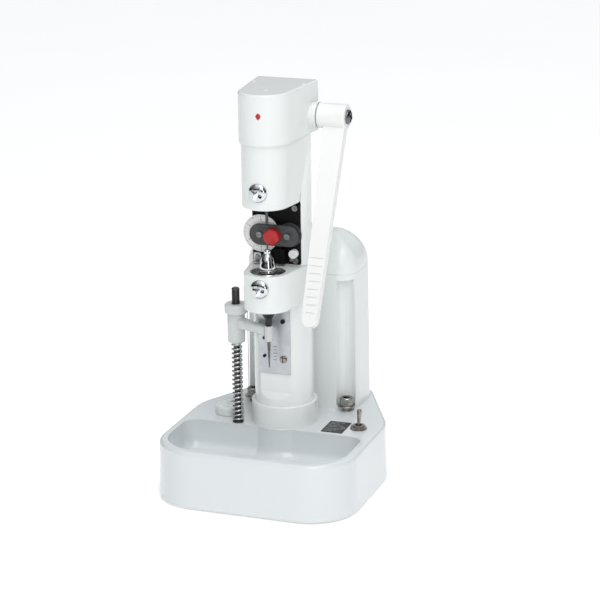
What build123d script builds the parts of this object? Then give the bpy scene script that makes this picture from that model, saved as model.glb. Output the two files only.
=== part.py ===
"""Hand-lever lens drilling machine for an optician's workshop, in millimetres.

Origin at the middle of the footprint on the table, +Z up, front towards -Y.
A vertical spindle drills upwards into the throat and reams downwards below the nose.
"""
from math import acos, atan2, cos, hypot, pi, radians, sin, tan
import os

from build123d import *

os.makedirs("parts", exist_ok=True)

# ---- driving dimensions -------------------------------------------------------------
# Footprint and tray
base_half_width = 102
base_half_length = 122
taper_start_y = 20
rear_half_width = 51
front_corner_r = 48
foot_height = 2.5
deck_z = 59
deck_thickness = 4
base_wall = 3.5
base_draft = 1.5
basin_floor_z = 30
basin_half_width = 92.5
basin_front_y = -112
basin_rear_y = -30

# Vertical axes
drill_y = -42
pillar_y = drill_y + 41
motor_y = drill_y + 120

# Column
pillar_r = 29.1
bore_r = 20
upper_bore_r = 12
collar_r = 32.7
collar_top_z = 82
pillar_top_z = 351.2
lower_flat_y = drill_y + 16.5
upper_flat_y = drill_y + 26.5
flat_bottom_z = 88
throat_floor_z = 223.5
throat_roof_z = 288.2
nose_bottom_z = 186.8
head_r = 23.3
flank_r = 29.35
cover_wall = 2.4

# Head cap
cap_r = 25.3
cap_rear_half_width = 32
cap_rear_y = drill_y + 64
cap_bottom_z = 351.5
cap_top_z = 400
cap_wall = 2.6
cover_screw_r = 9.2
cover_screw_z = 306
nose_screw_z = 211.5

# Hand lever and its gear train: sector, idler and rack
lever_y = drill_y + 50
lever_z = 368
lever_lean = 24
lever_length = 204
lever_mid_x = 54
lever_hub_r = 12.2
lever_hub_end_x = 65
shaft_r = 5
gear_module = 1
sector_teeth = 36
idler_teeth = 26
sector_pitch_r = gear_module * sector_teeth / 2
idler_pitch_r = gear_module * idler_teeth / 2
idler_y = lever_y - sector_pitch_r - idler_pitch_r
rack_y = idler_y - idler_pitch_r
gear_half_width = 3
cheek_inner_x = 12
cheek_outer_x = 16

# Presser quill
quill_r = 8
quill_bottom_z = 296
quill_top_z = 392
quill_collar_z = 350
return_spring_bottom_z = 322

# Spindle and belt drive
belt_z = 207
belt_size = 3
spindle_pulley_r = 11
motor_pulley_r = 14
spindle_r = 5
bearing_r = 11
collet_bottom_z = 169
reamer_tip_z = 125.4
drill_tip_z = 252

# Edge-distance gauge in the throat
gauge_z = 254.5
gauge_pitch_x = 14.4
gauge_module = 0.6
gauge_gear_teeth = 32
gauge_pinion_teeth = 16
dial_r = 18.5
bridge_half_height = 10.5

# Reaming stop on its threaded post
post_x = -41
post_y = drill_y + 18
post_r = 4
post_lower_r = 3.2
post_top_z = 198.4
stop_spring_bottom_z = 60.5
stop_spring_turns = 19
arm_bottom_z = 143
arm_top_z = 172
sleeve_bottom_z = 153
spindle_bottom_z = 178
spindle_top_z = 228
chuck_nose_z = 245.4
drill_foot_z = 237
presser_tip_z = 271

# Motor housing
housing_half_width = 59.5
housing_front_y = drill_y + 81
housing_rear_y = 117
housing_seam_z = 200
housing_wall = 3
cap_screw_x = 50
cap_screw_y = drill_y + 84
lug_top_z = 63

# Deck controls
toggle_x, toggle_y = 79, -6
knob_x, knob_y = -60, 0

screw_shank_r = 2
screw_length = 10
running_gap = 0.05
loose_gap = 0.3


# ---- shared profiles ----------------------------------------------------------------
def base_outline(inset=0):
    """Footprint: round front corners, straight sides and a tapered rear."""
    with BuildSketch(mode=Mode.PRIVATE) as outline:
        with BuildLine():
            Polyline(
                (-base_half_width, -base_half_length),
                (base_half_width, -base_half_length),
                (base_half_width, taper_start_y),
                (rear_half_width, base_half_length),
                (-rear_half_width, base_half_length),
                (-base_half_width, taper_start_y),
                close=True,
            )
        make_face()
        fillet(outline.vertices().group_by(Axis.Y)[1], 60)
        fillet(outline.vertices().group_by(Axis.Y)[-1], 30)
        fillet(outline.vertices().group_by(Axis.Y)[0], front_corner_r)
        if inset:
            offset(amount=-inset, mode=Mode.REPLACE)
    return outline.sketch


def basin_outline(grow=0):
    """Tray basin: rounded rectangle that steps round the column's foot."""
    depth = basin_rear_y - basin_front_y
    with BuildSketch(mode=Mode.PRIVATE) as outline:
        with Locations((0, basin_front_y + depth / 2)):
            Rectangle(2 * basin_half_width + 2 * grow, depth + 2 * grow)
        fillet(outline.vertices().group_by(Axis.Y)[0], 38 + grow)
        fillet(outline.vertices().group_by(Axis.Y)[-1], 14 + grow)
        with Locations((0, pillar_y)):
            Circle(collar_r + 1.6 - grow, mode=Mode.SUBTRACT)
    return outline.sketch


def head_plan(front_radius, rear_radius):
    """Teardrop plan of the head: a small front circle widening to the column."""
    with BuildSketch(mode=Mode.PRIVATE) as plan:
        with Locations((0, drill_y)):
            Circle(front_radius)
        with Locations((0, pillar_y)):
            Circle(rear_radius)
        make_hull()
    return plan.sketch


def cap_plan(inset=0):
    """Head cap plan: round front, straight flaring sides and a square back."""
    half = cap_rear_half_width - inset
    rear = cap_rear_y - inset
    radius = cap_r - inset
    depth = rear - drill_y
    touch = atan2(depth, half) - acos(radius / hypot(half, depth))
    touch_x, touch_y = radius * cos(touch), drill_y + radius * sin(touch)
    with BuildSketch(mode=Mode.PRIVATE) as plan:
        with BuildLine():
            ThreePointArc((-touch_x, touch_y), (0, drill_y - radius), (touch_x, touch_y))
            Polyline((touch_x, touch_y), (half, rear), (-half, rear), (-touch_x, touch_y))
        make_face()
        fillet(plan.vertices().group_by(Axis.Y)[-1], max(4 - inset, 1.5))
    return plan.sketch


def housing_plan(inset=0):
    """Motor housing plan, with wide rear corners that follow the base's taper."""
    front = housing_front_y + inset
    rear = housing_rear_y - inset
    with BuildSketch(mode=Mode.PRIVATE) as plan:
        with Locations((0, (front + rear) / 2)):
            Rectangle(2 * (housing_half_width - inset), rear - front)
        fillet(plan.vertices().group_by(Axis.Y)[0], max(20 - inset, 4))
        fillet(plan.vertices().group_by(Axis.Y)[-1], max(34 - inset, 4))
    return plan.sketch


def gear_outline(centre, module, teeth, phase, backlash=0.14, pressure=20):
    """Points of an involute spur gear; phase is the angle of one tooth's middle."""
    pitch_r = module * teeth / 2
    base_r = pitch_r * cos(radians(pressure))
    root_r = pitch_r - 1.25 * module
    tip_r = pitch_r + 0.95 * module
    start_r = max(base_r, root_r)

    def involute(radius):
        angle = acos(min(1, base_r / radius))
        return tan(angle) - angle

    half = pi / (2 * teeth) - backlash / (4 * pitch_r) + involute(pitch_r)
    flank = [(root_r, half)] if root_r < base_r else []
    for step in range(5):
        radius = start_r + (tip_r - start_r) * step / 4
        flank.append((radius, half - involute(radius)))
    sides = [(r, -a) for r, a in flank] + [(r, a) for r, a in reversed(flank)]
    points = []
    for tooth in range(teeth):
        middle = radians(phase) + 2 * pi * tooth / teeth
        for radius, angle in sides:
            turn = middle + angle
            points.append((centre[0] + radius * cos(turn), centre[1] + radius * sin(turn)))
    return points


def belt_loop(spindle_radius, motor_radius):
    """Outline round both pulleys at the given radii."""
    with BuildSketch(mode=Mode.PRIVATE) as loop:
        with Locations((0, drill_y)):
            Circle(spindle_radius)
        with Locations((0, motor_y)):
            Circle(motor_radius)
        make_hull()
    return loop.sketch


def grooved_pulley(pitch_radius):
    """Half-section points of a pulley, as radius and height."""
    groove = pitch_radius - belt_size / 2 - 0.1
    rim = pitch_radius + 2.4
    lip = belt_size / 2 + loose_gap
    return [
        (spindle_r, belt_z - 5.5),
        (rim, belt_z - 5.5),
        (rim, belt_z - lip - 1),
        (groove, belt_z - lip),
        (groove, belt_z + lip),
        (rim, belt_z + lip + 1),
        (rim, belt_z + 5.5),
        (spindle_r, belt_z + 5.5),
    ]


def cross_screw(head_radius, head_height, shank_radius, shank_length, plane):
    """Domed cross-recess screw: head along the plane's normal, shank behind it."""
    with BuildPart(mode=Mode.PRIVATE) as screw:
        with BuildSketch(plane):
            Circle(head_radius)
        extrude(amount=head_height)
        fillet(screw.edges().filter_by(GeomType.CIRCLE).sort_by(plane_axis(plane))[-1],
               head_height * 0.7)
        with BuildSketch(plane):
            Circle(shank_radius)
        extrude(amount=-shank_length)
        with BuildSketch(plane.offset(head_height)):
            Rectangle(head_radius * 1.1, head_radius * 0.22)
            Rectangle(head_radius * 0.22, head_radius * 1.1)
        extrude(amount=-head_height * 0.55, mode=Mode.SUBTRACT)
    return screw.part


def plane_axis(plane):
    """The axis along a plane's normal, to sort edges by."""
    return Axis(plane.origin, plane.z_dir)


def half_section(x, y):
    """Upright sketch plane through a vertical axis, with local x as the radius."""
    return Plane(origin=(x, y, 0), x_dir=(1, 0, 0), z_dir=(0, -1, 0))


def upright(x, y):
    """Vertical axis through a point of the plan."""
    return Axis((x, y, 0), (0, 0, 1))


# ---- base ---------------------------------------------------------------------------
shell_height = deck_z - foot_height
foot_spots = [(80, -88), (-80, -88), (44, 92), (-44, 92)]
motor_screw_spots = [(x, motor_y + y) for x in (-28, 28) for y in (-28, 28)]
plate_screw_spots = [(60, -96), (-60, -96), (92, -6), (-92, -6), (30, 112), (-30, 112)]

with BuildPart() as base_tray:
    with BuildSketch(Plane.XY.offset(foot_height)):
        add(base_outline())
    extrude(amount=shell_height, taper=base_draft)
    fillet(base_tray.faces().sort_by(Axis.Z)[-1].outer_wire().edges(), 4)
    with BuildSketch(Plane.XY.offset(foot_height)):
        add(base_outline(base_wall))
    extrude(amount=shell_height - deck_thickness, taper=base_draft, mode=Mode.SUBTRACT)
    # Basin walls, the column's pad and the plate-screw bosses hang below the deck
    with BuildSketch(Plane.XY.offset(basin_floor_z - deck_thickness)):
        add(basin_outline(3))
    extrude(amount=deck_z - basin_floor_z)
    with BuildSketch(Plane.XY.offset(basin_floor_z - deck_thickness)):
        with Locations((0, pillar_y)):
            Circle(collar_r + 1.6)
    extrude(amount=deck_z - basin_floor_z + deck_thickness)
    with BuildSketch(Plane.XY.offset(foot_height + 2)):
        with Locations(*plate_screw_spots):
            Circle(4.5)
    extrude(amount=basin_floor_z - foot_height - 4)
    with BuildSketch(Plane.XY.offset(basin_floor_z - 4)):
        with Locations(*plate_screw_spots[2:]):
            Circle(4.5)
    extrude(amount=deck_z - basin_floor_z)
    with BuildSketch(Plane.XY.offset(basin_floor_z)):
        add(basin_outline())
    extrude(amount=deck_z - basin_floor_z, mode=Mode.SUBTRACT)
    basin_edges = base_tray.edges().filter_by_position(
        Axis.Z, basin_floor_z - 0.1, basin_floor_z + 0.1)
    fillet(basin_edges, 9)
    # Holes for the stop post, switch, speed control, cap screws, column bolts and wiring
    with BuildSketch(Plane.XY.offset(deck_z)):
        with Locations((post_x, post_y)):
            Circle(post_lower_r + 0.1)
    extrude(amount=-16, mode=Mode.SUBTRACT)
    with BuildSketch(Plane.XY.offset(deck_z)):
        with Locations((toggle_x, toggle_y)):
            Circle(6)
        with Locations((knob_x, knob_y)):
            Circle(4.6)
        with Locations((cap_screw_x, cap_screw_y), (-cap_screw_x, cap_screw_y)):
            Circle(4)
        with Locations((0, motor_y - 48)):
            Circle(5)
        with Locations(*motor_screw_spots):
            Circle(screw_shank_r + running_gap)
    extrude(amount=-deck_thickness - 1, mode=Mode.SUBTRACT)
    with BuildSketch(Plane.XY.offset(deck_z)):
        with Locations((0, pillar_y)):
            Circle(10)
            with PolarLocations(24.5, 4, start_angle=45):
                Circle(3.1)
    extrude(amount=-40, mode=Mode.SUBTRACT)
    with BuildSketch(Plane.XY.offset(foot_height)):
        with Locations(*plate_screw_spots):
            Circle(1.5)
    extrude(amount=14, mode=Mode.SUBTRACT)
    # Power-inlet window in the rear wall
    with BuildSketch(Plane.XZ.offset(-base_half_length)):
        with Locations((0, 29)):
            Rectangle(28, 20.4)
    extrude(amount=12, mode=Mode.SUBTRACT)

with BuildPart() as base_plate:
    with BuildSketch(Plane.XY.offset(foot_height)):
        add(base_outline(base_wall + 0.4))
        with Locations(*foot_spots):
            Circle(3.1, mode=Mode.SUBTRACT)
        with Locations(*plate_screw_spots):
            Circle(1.8, mode=Mode.SUBTRACT)
    extrude(amount=1.8)

with BuildPart() as rubber_feet:
    with BuildSketch():
        with Locations(*foot_spots):
            Circle(11)
    extrude(amount=foot_height)
    chamfer(rubber_feet.edges().group_by(Axis.Z)[0], 0.8)
    with BuildSketch(Plane.XY.offset(foot_height)):
        with Locations(*foot_spots):
            Circle(3)
    extrude(amount=5)
    with BuildSketch(Plane.XY.offset(foot_height + 1.9)):
        with Locations(*foot_spots):
            Circle(4.4)
    extrude(amount=2)

with BuildPart() as base_plate_screws:
    with BuildSketch(Plane.XY.offset(foot_height - 1.4)):
        with Locations(*plate_screw_spots):
            Circle(3)
    extrude(amount=1.4)
    with BuildSketch(Plane.XY.offset(foot_height)):
        with Locations(*plate_screw_spots):
            Circle(1.45)
    extrude(amount=9)

# ---- column -------------------------------------------------------------------------
column_face = Plane(origin=(0, upper_flat_y, 0), x_dir=(1, 0, 0), z_dir=(0, -1, 0))
plate_screw_points = [(x, z) for x in (-19.5, 19.5) for z in (228.5, 281)]
gauge_post_points = [(-gauge_pitch_x, gauge_z), (gauge_pitch_x, gauge_z)]
bracket_screw_points = [(x, z) for x in (-17, 17) for z in (298.5, 316.5)]
head_frame_screw_spots = [(x, drill_y + y) for x in (-20.5, 20.5) for y in (30, 56)]

with BuildPart() as pillar:
    with BuildSketch(Plane.XY.offset(deck_z)):
        with Locations((0, pillar_y)):
            Circle(pillar_r)
            Circle(bore_r, mode=Mode.SUBTRACT)
    extrude(amount=throat_floor_z - 7.5 - deck_z)
    with BuildSketch(Plane.XY.offset(throat_floor_z - 7.5)):
        with Locations((0, pillar_y)):
            Circle(pillar_r)
            Circle(upper_bore_r, mode=Mode.SUBTRACT)
    extrude(amount=pillar_top_z - throat_floor_z + 7.5)
    # Front flats: a shallow one for the scale plate and nose, a deeper one for the throat
    with BuildSketch(Plane.YZ):
        with BuildLine():
            Polyline(
                (lower_flat_y - 30, flat_bottom_z - 14),
                (lower_flat_y - 6, flat_bottom_z - 2),
                (lower_flat_y, flat_bottom_z + 7),
                (lower_flat_y, throat_floor_z),
                (upper_flat_y, throat_floor_z),
                (upper_flat_y, pillar_top_z + 1),
                (lower_flat_y - 30, pillar_top_z + 1),
                close=True,
            )
        make_face()
    extrude(amount=40, both=True, mode=Mode.SUBTRACT)
    # Belt windows front and rear, and the column bolts' tapped holes
    with BuildSketch(Plane.XZ.offset(-(pillar_y + 40))):
        with Locations((0, belt_z)):
            RectangleRounded(34, 12, 3)
    extrude(amount=80, mode=Mode.SUBTRACT)
    with BuildSketch(Plane.XY.offset(deck_z)):
        with Locations((0, pillar_y)):
            with PolarLocations(24.5, 4, start_angle=45):
                Circle(2.95)
    extrude(amount=18, mode=Mode.SUBTRACT)
    # Tapped holes for the throat plate, the quill bracket and the head frame
    with BuildSketch(column_face):
        with Locations(*plate_screw_points):
            Circle(1.3)
        with Locations(*gauge_post_points):
            Circle(1.55)
        with Locations(*bracket_screw_points):
            Circle(screw_shank_r + running_gap)
    extrude(amount=-8, mode=Mode.SUBTRACT)
    with BuildSketch(Plane.XY.offset(pillar_top_z)):
        with Locations(*head_frame_screw_spots):
            Circle(screw_shank_r + running_gap)
    extrude(amount=-8, mode=Mode.SUBTRACT)

with BuildPart() as pillar_collar:
    with BuildSketch(Plane.XY.offset(deck_z)):
        with Locations((0, pillar_y)):
            Circle(collar_r)
            Circle(pillar_r + 0.15, mode=Mode.SUBTRACT)
    extrude(amount=collar_top_z - deck_z)
    fillet(pillar_collar.edges().group_by(Axis.Z)[-1].sort_by(SortBy.RADIUS)[-1], 1.2)

with BuildPart() as pillar_bolts:
    with BuildSketch(Plane.XY.offset(deck_z - 33)):
        with Locations((0, pillar_y)):
            with PolarLocations(24.5, 4, start_angle=45):
                Circle(2.9)
    extrude(amount=47)
    with BuildSketch(Plane.XY.offset(deck_z - 39)):
        with Locations((0, pillar_y)):
            with PolarLocations(24.5, 4, start_angle=45):
                Circle(5)
                RegularPolygon(2.6, 6, mode=Mode.SUBTRACT)
    extrude(amount=6)

# ---- nose, with the spindle frame inside ----------------------------------------------
with BuildPart() as nose_housing:
    with BuildSketch(Plane.XY.offset(nose_bottom_z)):
        add(head_plan(head_r, flank_r))
    extrude(amount=throat_floor_z - nose_bottom_z)
    fillet(nose_housing.edges().group_by(Axis.Z)[-1], 1.5)
    fillet(nose_housing.edges().group_by(Axis.Z)[0], 1.5)
    with BuildSketch(Plane.XY.offset(nose_bottom_z + 3)):
        add(head_plan(head_r - 3, flank_r - 3))
    extrude(amount=throat_floor_z - nose_bottom_z - 6, mode=Mode.SUBTRACT)
    with BuildSketch(Plane.XY.offset(throat_floor_z)):
        with Locations((0, drill_y)):
            Circle(17.3)
    extrude(amount=-4, mode=Mode.SUBTRACT)
    with BuildSketch(Plane.XY.offset(nose_bottom_z)):
        with Locations((0, drill_y)):
            Circle(8)
    extrude(amount=4, mode=Mode.SUBTRACT)
    # The flanks end on a slope and stand clear of the column
    with BuildSketch(Plane.YZ):
        with BuildLine():
            Polyline(
                (drill_y + 17, nose_bottom_z - 2),
                (drill_y + 37, throat_floor_z + 2),
                (drill_y + 80, throat_floor_z + 2),
                (drill_y + 80, nose_bottom_z - 2),
                close=True,
            )
        make_face()
    extrude(amount=40, both=True, mode=Mode.SUBTRACT)
    with BuildSketch(Plane.XY.offset(nose_bottom_z - 1)):
        with Locations((0, pillar_y)):
            Circle(pillar_r + 0.15)
        with Locations((0, lower_flat_y - 20.15)):
            Rectangle(80, 40, mode=Mode.SUBTRACT)
    extrude(amount=throat_floor_z - nose_bottom_z + 2, mode=Mode.SUBTRACT)
    with BuildSketch(Plane.XZ.offset(head_r - 4 - drill_y)):
        with Locations((0, nose_screw_z)):
            Circle(cover_screw_r + 0.1)
    extrude(amount=2)
    with BuildSketch(Plane.XZ.offset(head_r - 2 - drill_y)):
        with Locations((0, nose_screw_z)):
            Circle(cover_screw_r + 0.1)
    extrude(amount=6, mode=Mode.SUBTRACT)
    with BuildSketch(Plane.XZ.offset(-drill_y)):
        with Locations((0, nose_screw_z)):
            Circle(2.6)
    extrude(amount=30, mode=Mode.SUBTRACT)

with BuildPart() as spindle_frame:
    frame_bottom_z = nose_bottom_z + 3.4
    frame_top_z = throat_floor_z - 3.4
    with BuildSketch(Plane.XY.offset(frame_bottom_z)):
        with Locations((0, drill_y)):
            Circle(19)
        with Locations((0, (drill_y + lower_flat_y) / 2 - 0.1)):
            Rectangle(38, lower_flat_y - drill_y - 0.2)
        with Locations((0, lower_flat_y + 9.9)):
            Rectangle(40, 20, mode=Mode.SUBTRACT)
    extrude(amount=frame_top_z - frame_bottom_z)
    # Pulley pocket, open towards the column
    with BuildSketch(Plane.XY.offset(belt_z - 6.3)):
        with Locations((0, drill_y)):
            Circle(15)
        with Locations((0, drill_y + 15)):
            Rectangle(30, 30)
    extrude(amount=12.6, mode=Mode.SUBTRACT)
    # Bearing seats and the bore through
    with BuildSketch(Plane.XY.offset(frame_bottom_z)):
        with Locations((0, drill_y)):
            Circle(bearing_r + 0.03)
    extrude(amount=7, mode=Mode.SUBTRACT)
    with BuildSketch(Plane.XY.offset(frame_top_z)):
        with Locations((0, drill_y)):
            Circle(bearing_r + 0.03)
    extrude(amount=-6, mode=Mode.SUBTRACT)
    with BuildSketch(Plane.XY.offset(frame_bottom_z)):
        with Locations((0, drill_y)):
            Circle(9)
    extrude(amount=frame_top_z - frame_bottom_z, mode=Mode.SUBTRACT)
    with BuildSketch(Plane.XZ.offset(-drill_y)):
        with Locations((0, nose_screw_z)):
            Circle(2.55)
    extrude(amount=30, mode=Mode.SUBTRACT)

with BuildPart() as spindle_bearings:
    for bottom_z in (frame_bottom_z, frame_top_z - 6):
        with BuildSketch(Plane.XY.offset(bottom_z)):
            with Locations((0, drill_y)):
                Circle(bearing_r)
                Circle(spindle_r + running_gap, mode=Mode.SUBTRACT)
        extrude(amount=6)

# ---- spindle ------------------------------------------------------------------------
with BuildPart() as spindle_shaft:
    with BuildSketch(Plane.XY.offset(spindle_bottom_z)):
        with Locations((0, drill_y)):
            Circle(spindle_r)
    extrude(amount=spindle_top_z - spindle_bottom_z)

with BuildPart() as spindle_pulley:
    with BuildSketch(half_section(0, drill_y)):
        with BuildLine():
            Polyline(*grooved_pulley(spindle_pulley_r), close=True)
        make_face()
    revolve(axis=upright(0, drill_y))

with BuildPart() as drill_chuck:
    with BuildSketch(half_section(0, drill_y)):
        with BuildLine():
            Polyline((0, spindle_top_z), (spindle_r, spindle_top_z), (spindle_r, 222.2),
                     (8, 222.2), (8, 227))
            Line((8, 227), (7.2, 230))
            Spline((7.2, 230), (6.4, 235), (4.4, 239.4), (3, 241))
            Polyline((3, 241), (3, 242))
            Spline((3, 242), (2.7, 244), (1.2, chuck_nose_z), (0.9, chuck_nose_z))
            Polyline((0.9, chuck_nose_z), (0, chuck_nose_z), (0, spindle_top_z))
        make_face()
    revolve(axis=upright(0, drill_y))
    with BuildSketch(Plane.XY.offset(chuck_nose_z)):
        with Locations((0, drill_y)):
            Circle(0.8)
    extrude(amount=-9, mode=Mode.SUBTRACT)

with BuildPart() as drill_bit:
    with BuildSketch(Plane.XY.offset(drill_foot_z)):
        with Locations((0, drill_y)):
            Circle(0.78)
    extrude(amount=drill_tip_z - 1 - drill_foot_z)
    with BuildSketch(Plane.XY.offset(drill_tip_z - 1)):
        with Locations((0, drill_y)):
            Circle(0.78)
    extrude(amount=1, taper=35)

with BuildPart() as reamer_collet:
    with BuildSketch(half_section(0, drill_y)):
        with BuildLine():
            Polyline(
                (2, collet_bottom_z), (3, collet_bottom_z), (3.4, collet_bottom_z + 1),
                (3.4, 175), (5.6, 179), (6.6, 181), (6.6, 188), (spindle_r, 188),
                (spindle_r, spindle_bottom_z), (2, spindle_bottom_z),
                close=True,
            )
        make_face()
    revolve(axis=upright(0, drill_y))

with BuildPart() as reamer:
    with BuildSketch(half_section(0, drill_y)):
        with BuildLine():
            Polyline(
                (0, reamer_tip_z), (0.5, reamer_tip_z + 0.8), (1.75, 152), (1.98, 156),
                (1.98, 177.8), (0, 177.8),
                close=True,
            )
        make_face()
    revolve(axis=upright(0, drill_y))
    with BuildSketch(Plane.XY.offset(reamer_tip_z)):
        with Locations((0, drill_y)):
            with PolarLocations(2.1, 4):
                Rectangle(2.6, 0.5)
    extrude(amount=25, mode=Mode.SUBTRACT)

# ---- throat: back plate and edge-distance gauge ---------------------------------------
plate_back = Plane(origin=(0, upper_flat_y - 0.05, 0), x_dir=(1, 0, 0), z_dir=(0, -1, 0))
plate_front = plate_back.offset(1.2)
with BuildPart() as throat_plate:
    with BuildSketch(plate_back):
        with Locations((0, (throat_floor_z + throat_roof_z) / 2 + 0.4)):
            RectangleRounded(49.4, throat_roof_z - throat_floor_z - 1.6, 2)
        with Locations(*plate_screw_points):
            Circle(1.3, mode=Mode.SUBTRACT)
        with Locations(*gauge_post_points):
            Circle(1.55, mode=Mode.SUBTRACT)
    extrude(amount=1.2)

bridge_back = plate_front.offset(6.6)
with BuildPart() as gauge_bridge:
    with BuildSketch(bridge_back):
        with Locations((0, gauge_z)):
            SlotCenterToCenter(2 * gauge_pitch_x, 2 * bridge_half_height)
            Circle(2.1, mode=Mode.SUBTRACT)
        with Locations(*gauge_post_points):
            Circle(1.55, mode=Mode.SUBTRACT)
    extrude(amount=2.2)
    chamfer(gauge_bridge.faces().sort_by(Axis.Y)[0].outer_wire().edges(), 0.5)
    with BuildSketch(bridge_back):
        with Locations(*gauge_post_points):
            Circle(2.5)
            Circle(1.55, mode=Mode.SUBTRACT)
    extrude(amount=-6.6)

with BuildPart() as throat_screws:
    for seat, points, length in ((plate_front, plate_screw_points, 5),
                                 (bridge_back.offset(2.2), gauge_post_points, 14)):
        with BuildSketch(seat):
            with Locations(*points):
                Circle(2.9)
        extrude(amount=1.6)
        with BuildSketch(seat.offset(1.6)):
            with Locations(*points):
                Rectangle(3.8, 0.7)
        extrude(amount=-0.8, mode=Mode.SUBTRACT)
        with BuildSketch(seat):
            with Locations(*points):
                Circle(1.25)
        extrude(amount=-length)

gear_plane = bridge_back.offset(-0.4)
pinion_step = 360 / gauge_pinion_teeth
with BuildPart() as gauge_dial:
    with BuildSketch(gear_plane):
        with BuildLine():
            Polyline(*gear_outline((-gauge_pitch_x, gauge_z), gauge_module,
                                   gauge_gear_teeth, 0), close=True)
        make_face()
    extrude(amount=-2.2)
    with BuildSketch(gear_plane.offset(-2.2)):
        with Locations((-gauge_pitch_x, gauge_z)):
            Circle(dial_r)
    extrude(amount=-1.4)
    with BuildSketch(gear_plane):
        with Locations((-gauge_pitch_x, gauge_z)):
            Circle(2.5 + running_gap)
    extrude(amount=-3.6, mode=Mode.SUBTRACT)

with BuildPart() as gauge_wheel:
    with BuildSketch(gear_plane):
        with BuildLine():
            Polyline(*gear_outline((gauge_pitch_x, gauge_z), gauge_module,
                                   gauge_gear_teeth, 0), close=True)
        make_face()
    extrude(amount=-2.2)
    with BuildSketch(gear_plane.offset(-2.2)):
        with Locations((gauge_pitch_x, gauge_z)):
            Circle(6)
    extrude(amount=-1.9)
    with BuildSketch(gear_plane.offset(-4.1)):
        with Locations((gauge_pitch_x, gauge_z)):
            Circle(12)
    extrude(amount=-1.2)
    with BuildSketch(gear_plane):
        with Locations((gauge_pitch_x, gauge_z)):
            Circle(2.5 + running_gap)
    extrude(amount=-5.3, mode=Mode.SUBTRACT)

with BuildPart() as gauge_knob:
    with BuildSketch(gear_plane):
        with BuildLine():
            Polyline(*gear_outline((0, gauge_z), gauge_module, gauge_pinion_teeth,
                                   pinion_step / 2), close=True)
        make_face()
    extrude(amount=-2.2)
    with BuildSketch(gear_plane):
        with Locations((0, gauge_z)):
            Circle(2.1 - running_gap)
    extrude(amount=4)
    with BuildSketch(gear_plane.offset(3)):
        with Locations((0, gauge_z)):
            Circle(7.9)
    extrude(amount=7.5)
    fillet(gauge_knob.edges().filter_by(GeomType.CIRCLE).sort_by(Axis.Y)[0], 1.5)

with BuildPart() as lens_stop:
    with BuildSketch(plate_front):
        with Locations((5.5, 233.5)):
            RectangleRounded(10, 15, 1)
    extrude(amount=7)
    with BuildSketch(Plane.XY.offset(241)):
        with Locations((5.5, upper_flat_y - 5.5)):
            Circle(1.2)
    extrude(amount=5)

# ---- scale plate below the nose -------------------------------------------------------
scale_back = Plane(origin=(0, lower_flat_y - 0.05, 0), x_dir=(1, 0, 0), z_dir=(0, -1, 0))
scale_screw_points = [(-10.4, 132.3), (-10.4, 150.8), (9.1, 130.2), (9.1, 169)]
with BuildPart() as scale_plate:
    with BuildSketch(scale_back):
        with Locations((0, 150.4)):
            Rectangle(32.4, 72)
        with Locations(*scale_screw_points):
            Circle(1.5, mode=Mode.SUBTRACT)
    extrude(amount=1.5)

with BuildPart() as scale_screws:
    with BuildSketch(scale_back.offset(1.5)):
        for x, z in scale_screw_points:
            with Locations((x, z)):
                Circle(2.3 if x > 0 else 1.6)
                RegularPolygon(1.2 if x > 0 else 0.8, 6, mode=Mode.SUBTRACT)
    extrude(amount=1.4)
    with BuildSketch(scale_back):
        with Locations(*scale_screw_points):
            Circle(1.45)
    extrude(amount=1.5)

# ---- reaming stop on its post -----------------------------------------------------------
with BuildPart() as stop_post:
    with BuildSketch(half_section(post_x, post_y)):
        with BuildLine():
            Polyline(
                (0, 46), (post_lower_r, 46), (post_lower_r, deck_z), (5.5, deck_z),
                (5.5, stop_spring_bottom_z), (post_lower_r, stop_spring_bottom_z),
                (post_lower_r, arm_bottom_z - 1), (post_r, arm_bottom_z),
                (post_r, post_top_z - 1), (post_r - 1, post_top_z), (0, post_top_z),
                close=True,
            )
        make_face()
    revolve(axis=upright(post_x, post_y))

with BuildPart() as stop_spring:
    wire_r = 1
    coil_bottom_z = stop_spring_bottom_z + wire_r + 0.1
    coil_height = arm_bottom_z - 0.1 - wire_r - coil_bottom_z
    with BuildLine():
        coil = Helix(pitch=coil_height / stop_spring_turns, height=coil_height,
                     radius=4.6, center=(post_x, post_y, coil_bottom_z))
    with BuildSketch(Plane(origin=coil @ 0, z_dir=coil % 0)):
        Circle(wire_r)
    sweep(is_frenet=True)

# The arm's own plane: origin on the post, local x towards the drill axis
arm_reach = hypot(post_x, drill_y - post_y)
swing_plane = Plane(origin=(post_x, post_y, 0), x_dir=(-post_x, drill_y - post_y, 0),
                    z_dir=(0, 0, 1))
with BuildPart() as stop_arm:
    with BuildSketch(swing_plane.offset(arm_bottom_z)):
        Circle(8.6)
    extrude(amount=arm_top_z - arm_bottom_z)
    with BuildSketch(swing_plane.offset(sleeve_bottom_z)):
        with Locations((arm_reach, 0)):
            Circle(4.1)
    extrude(amount=15.4)
    with BuildSketch(swing_plane.offset(sleeve_bottom_z + 5.5)):
        with BuildLine():
            Polyline((0, -5.5), (arm_reach, -3.4), (arm_reach, 3.4), (0, 5.5), close=True)
        make_face()
    extrude(amount=9)
    with BuildSketch(swing_plane.offset(arm_bottom_z)):
        Circle(post_r + 0.08)
        with Locations((arm_reach, 0)):
            Circle(2.7)
    extrude(amount=40, mode=Mode.SUBTRACT)

with BuildPart() as stop_nut:
    with BuildSketch(swing_plane.offset(arm_top_z + 0.3)):
        Circle(11.3)
    extrude(amount=10)
    fillet(stop_nut.edges(), 1)
    with BuildSketch(swing_plane.offset(arm_top_z)):
        Circle(post_r + 0.06)
    extrude(amount=12, mode=Mode.SUBTRACT)

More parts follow.
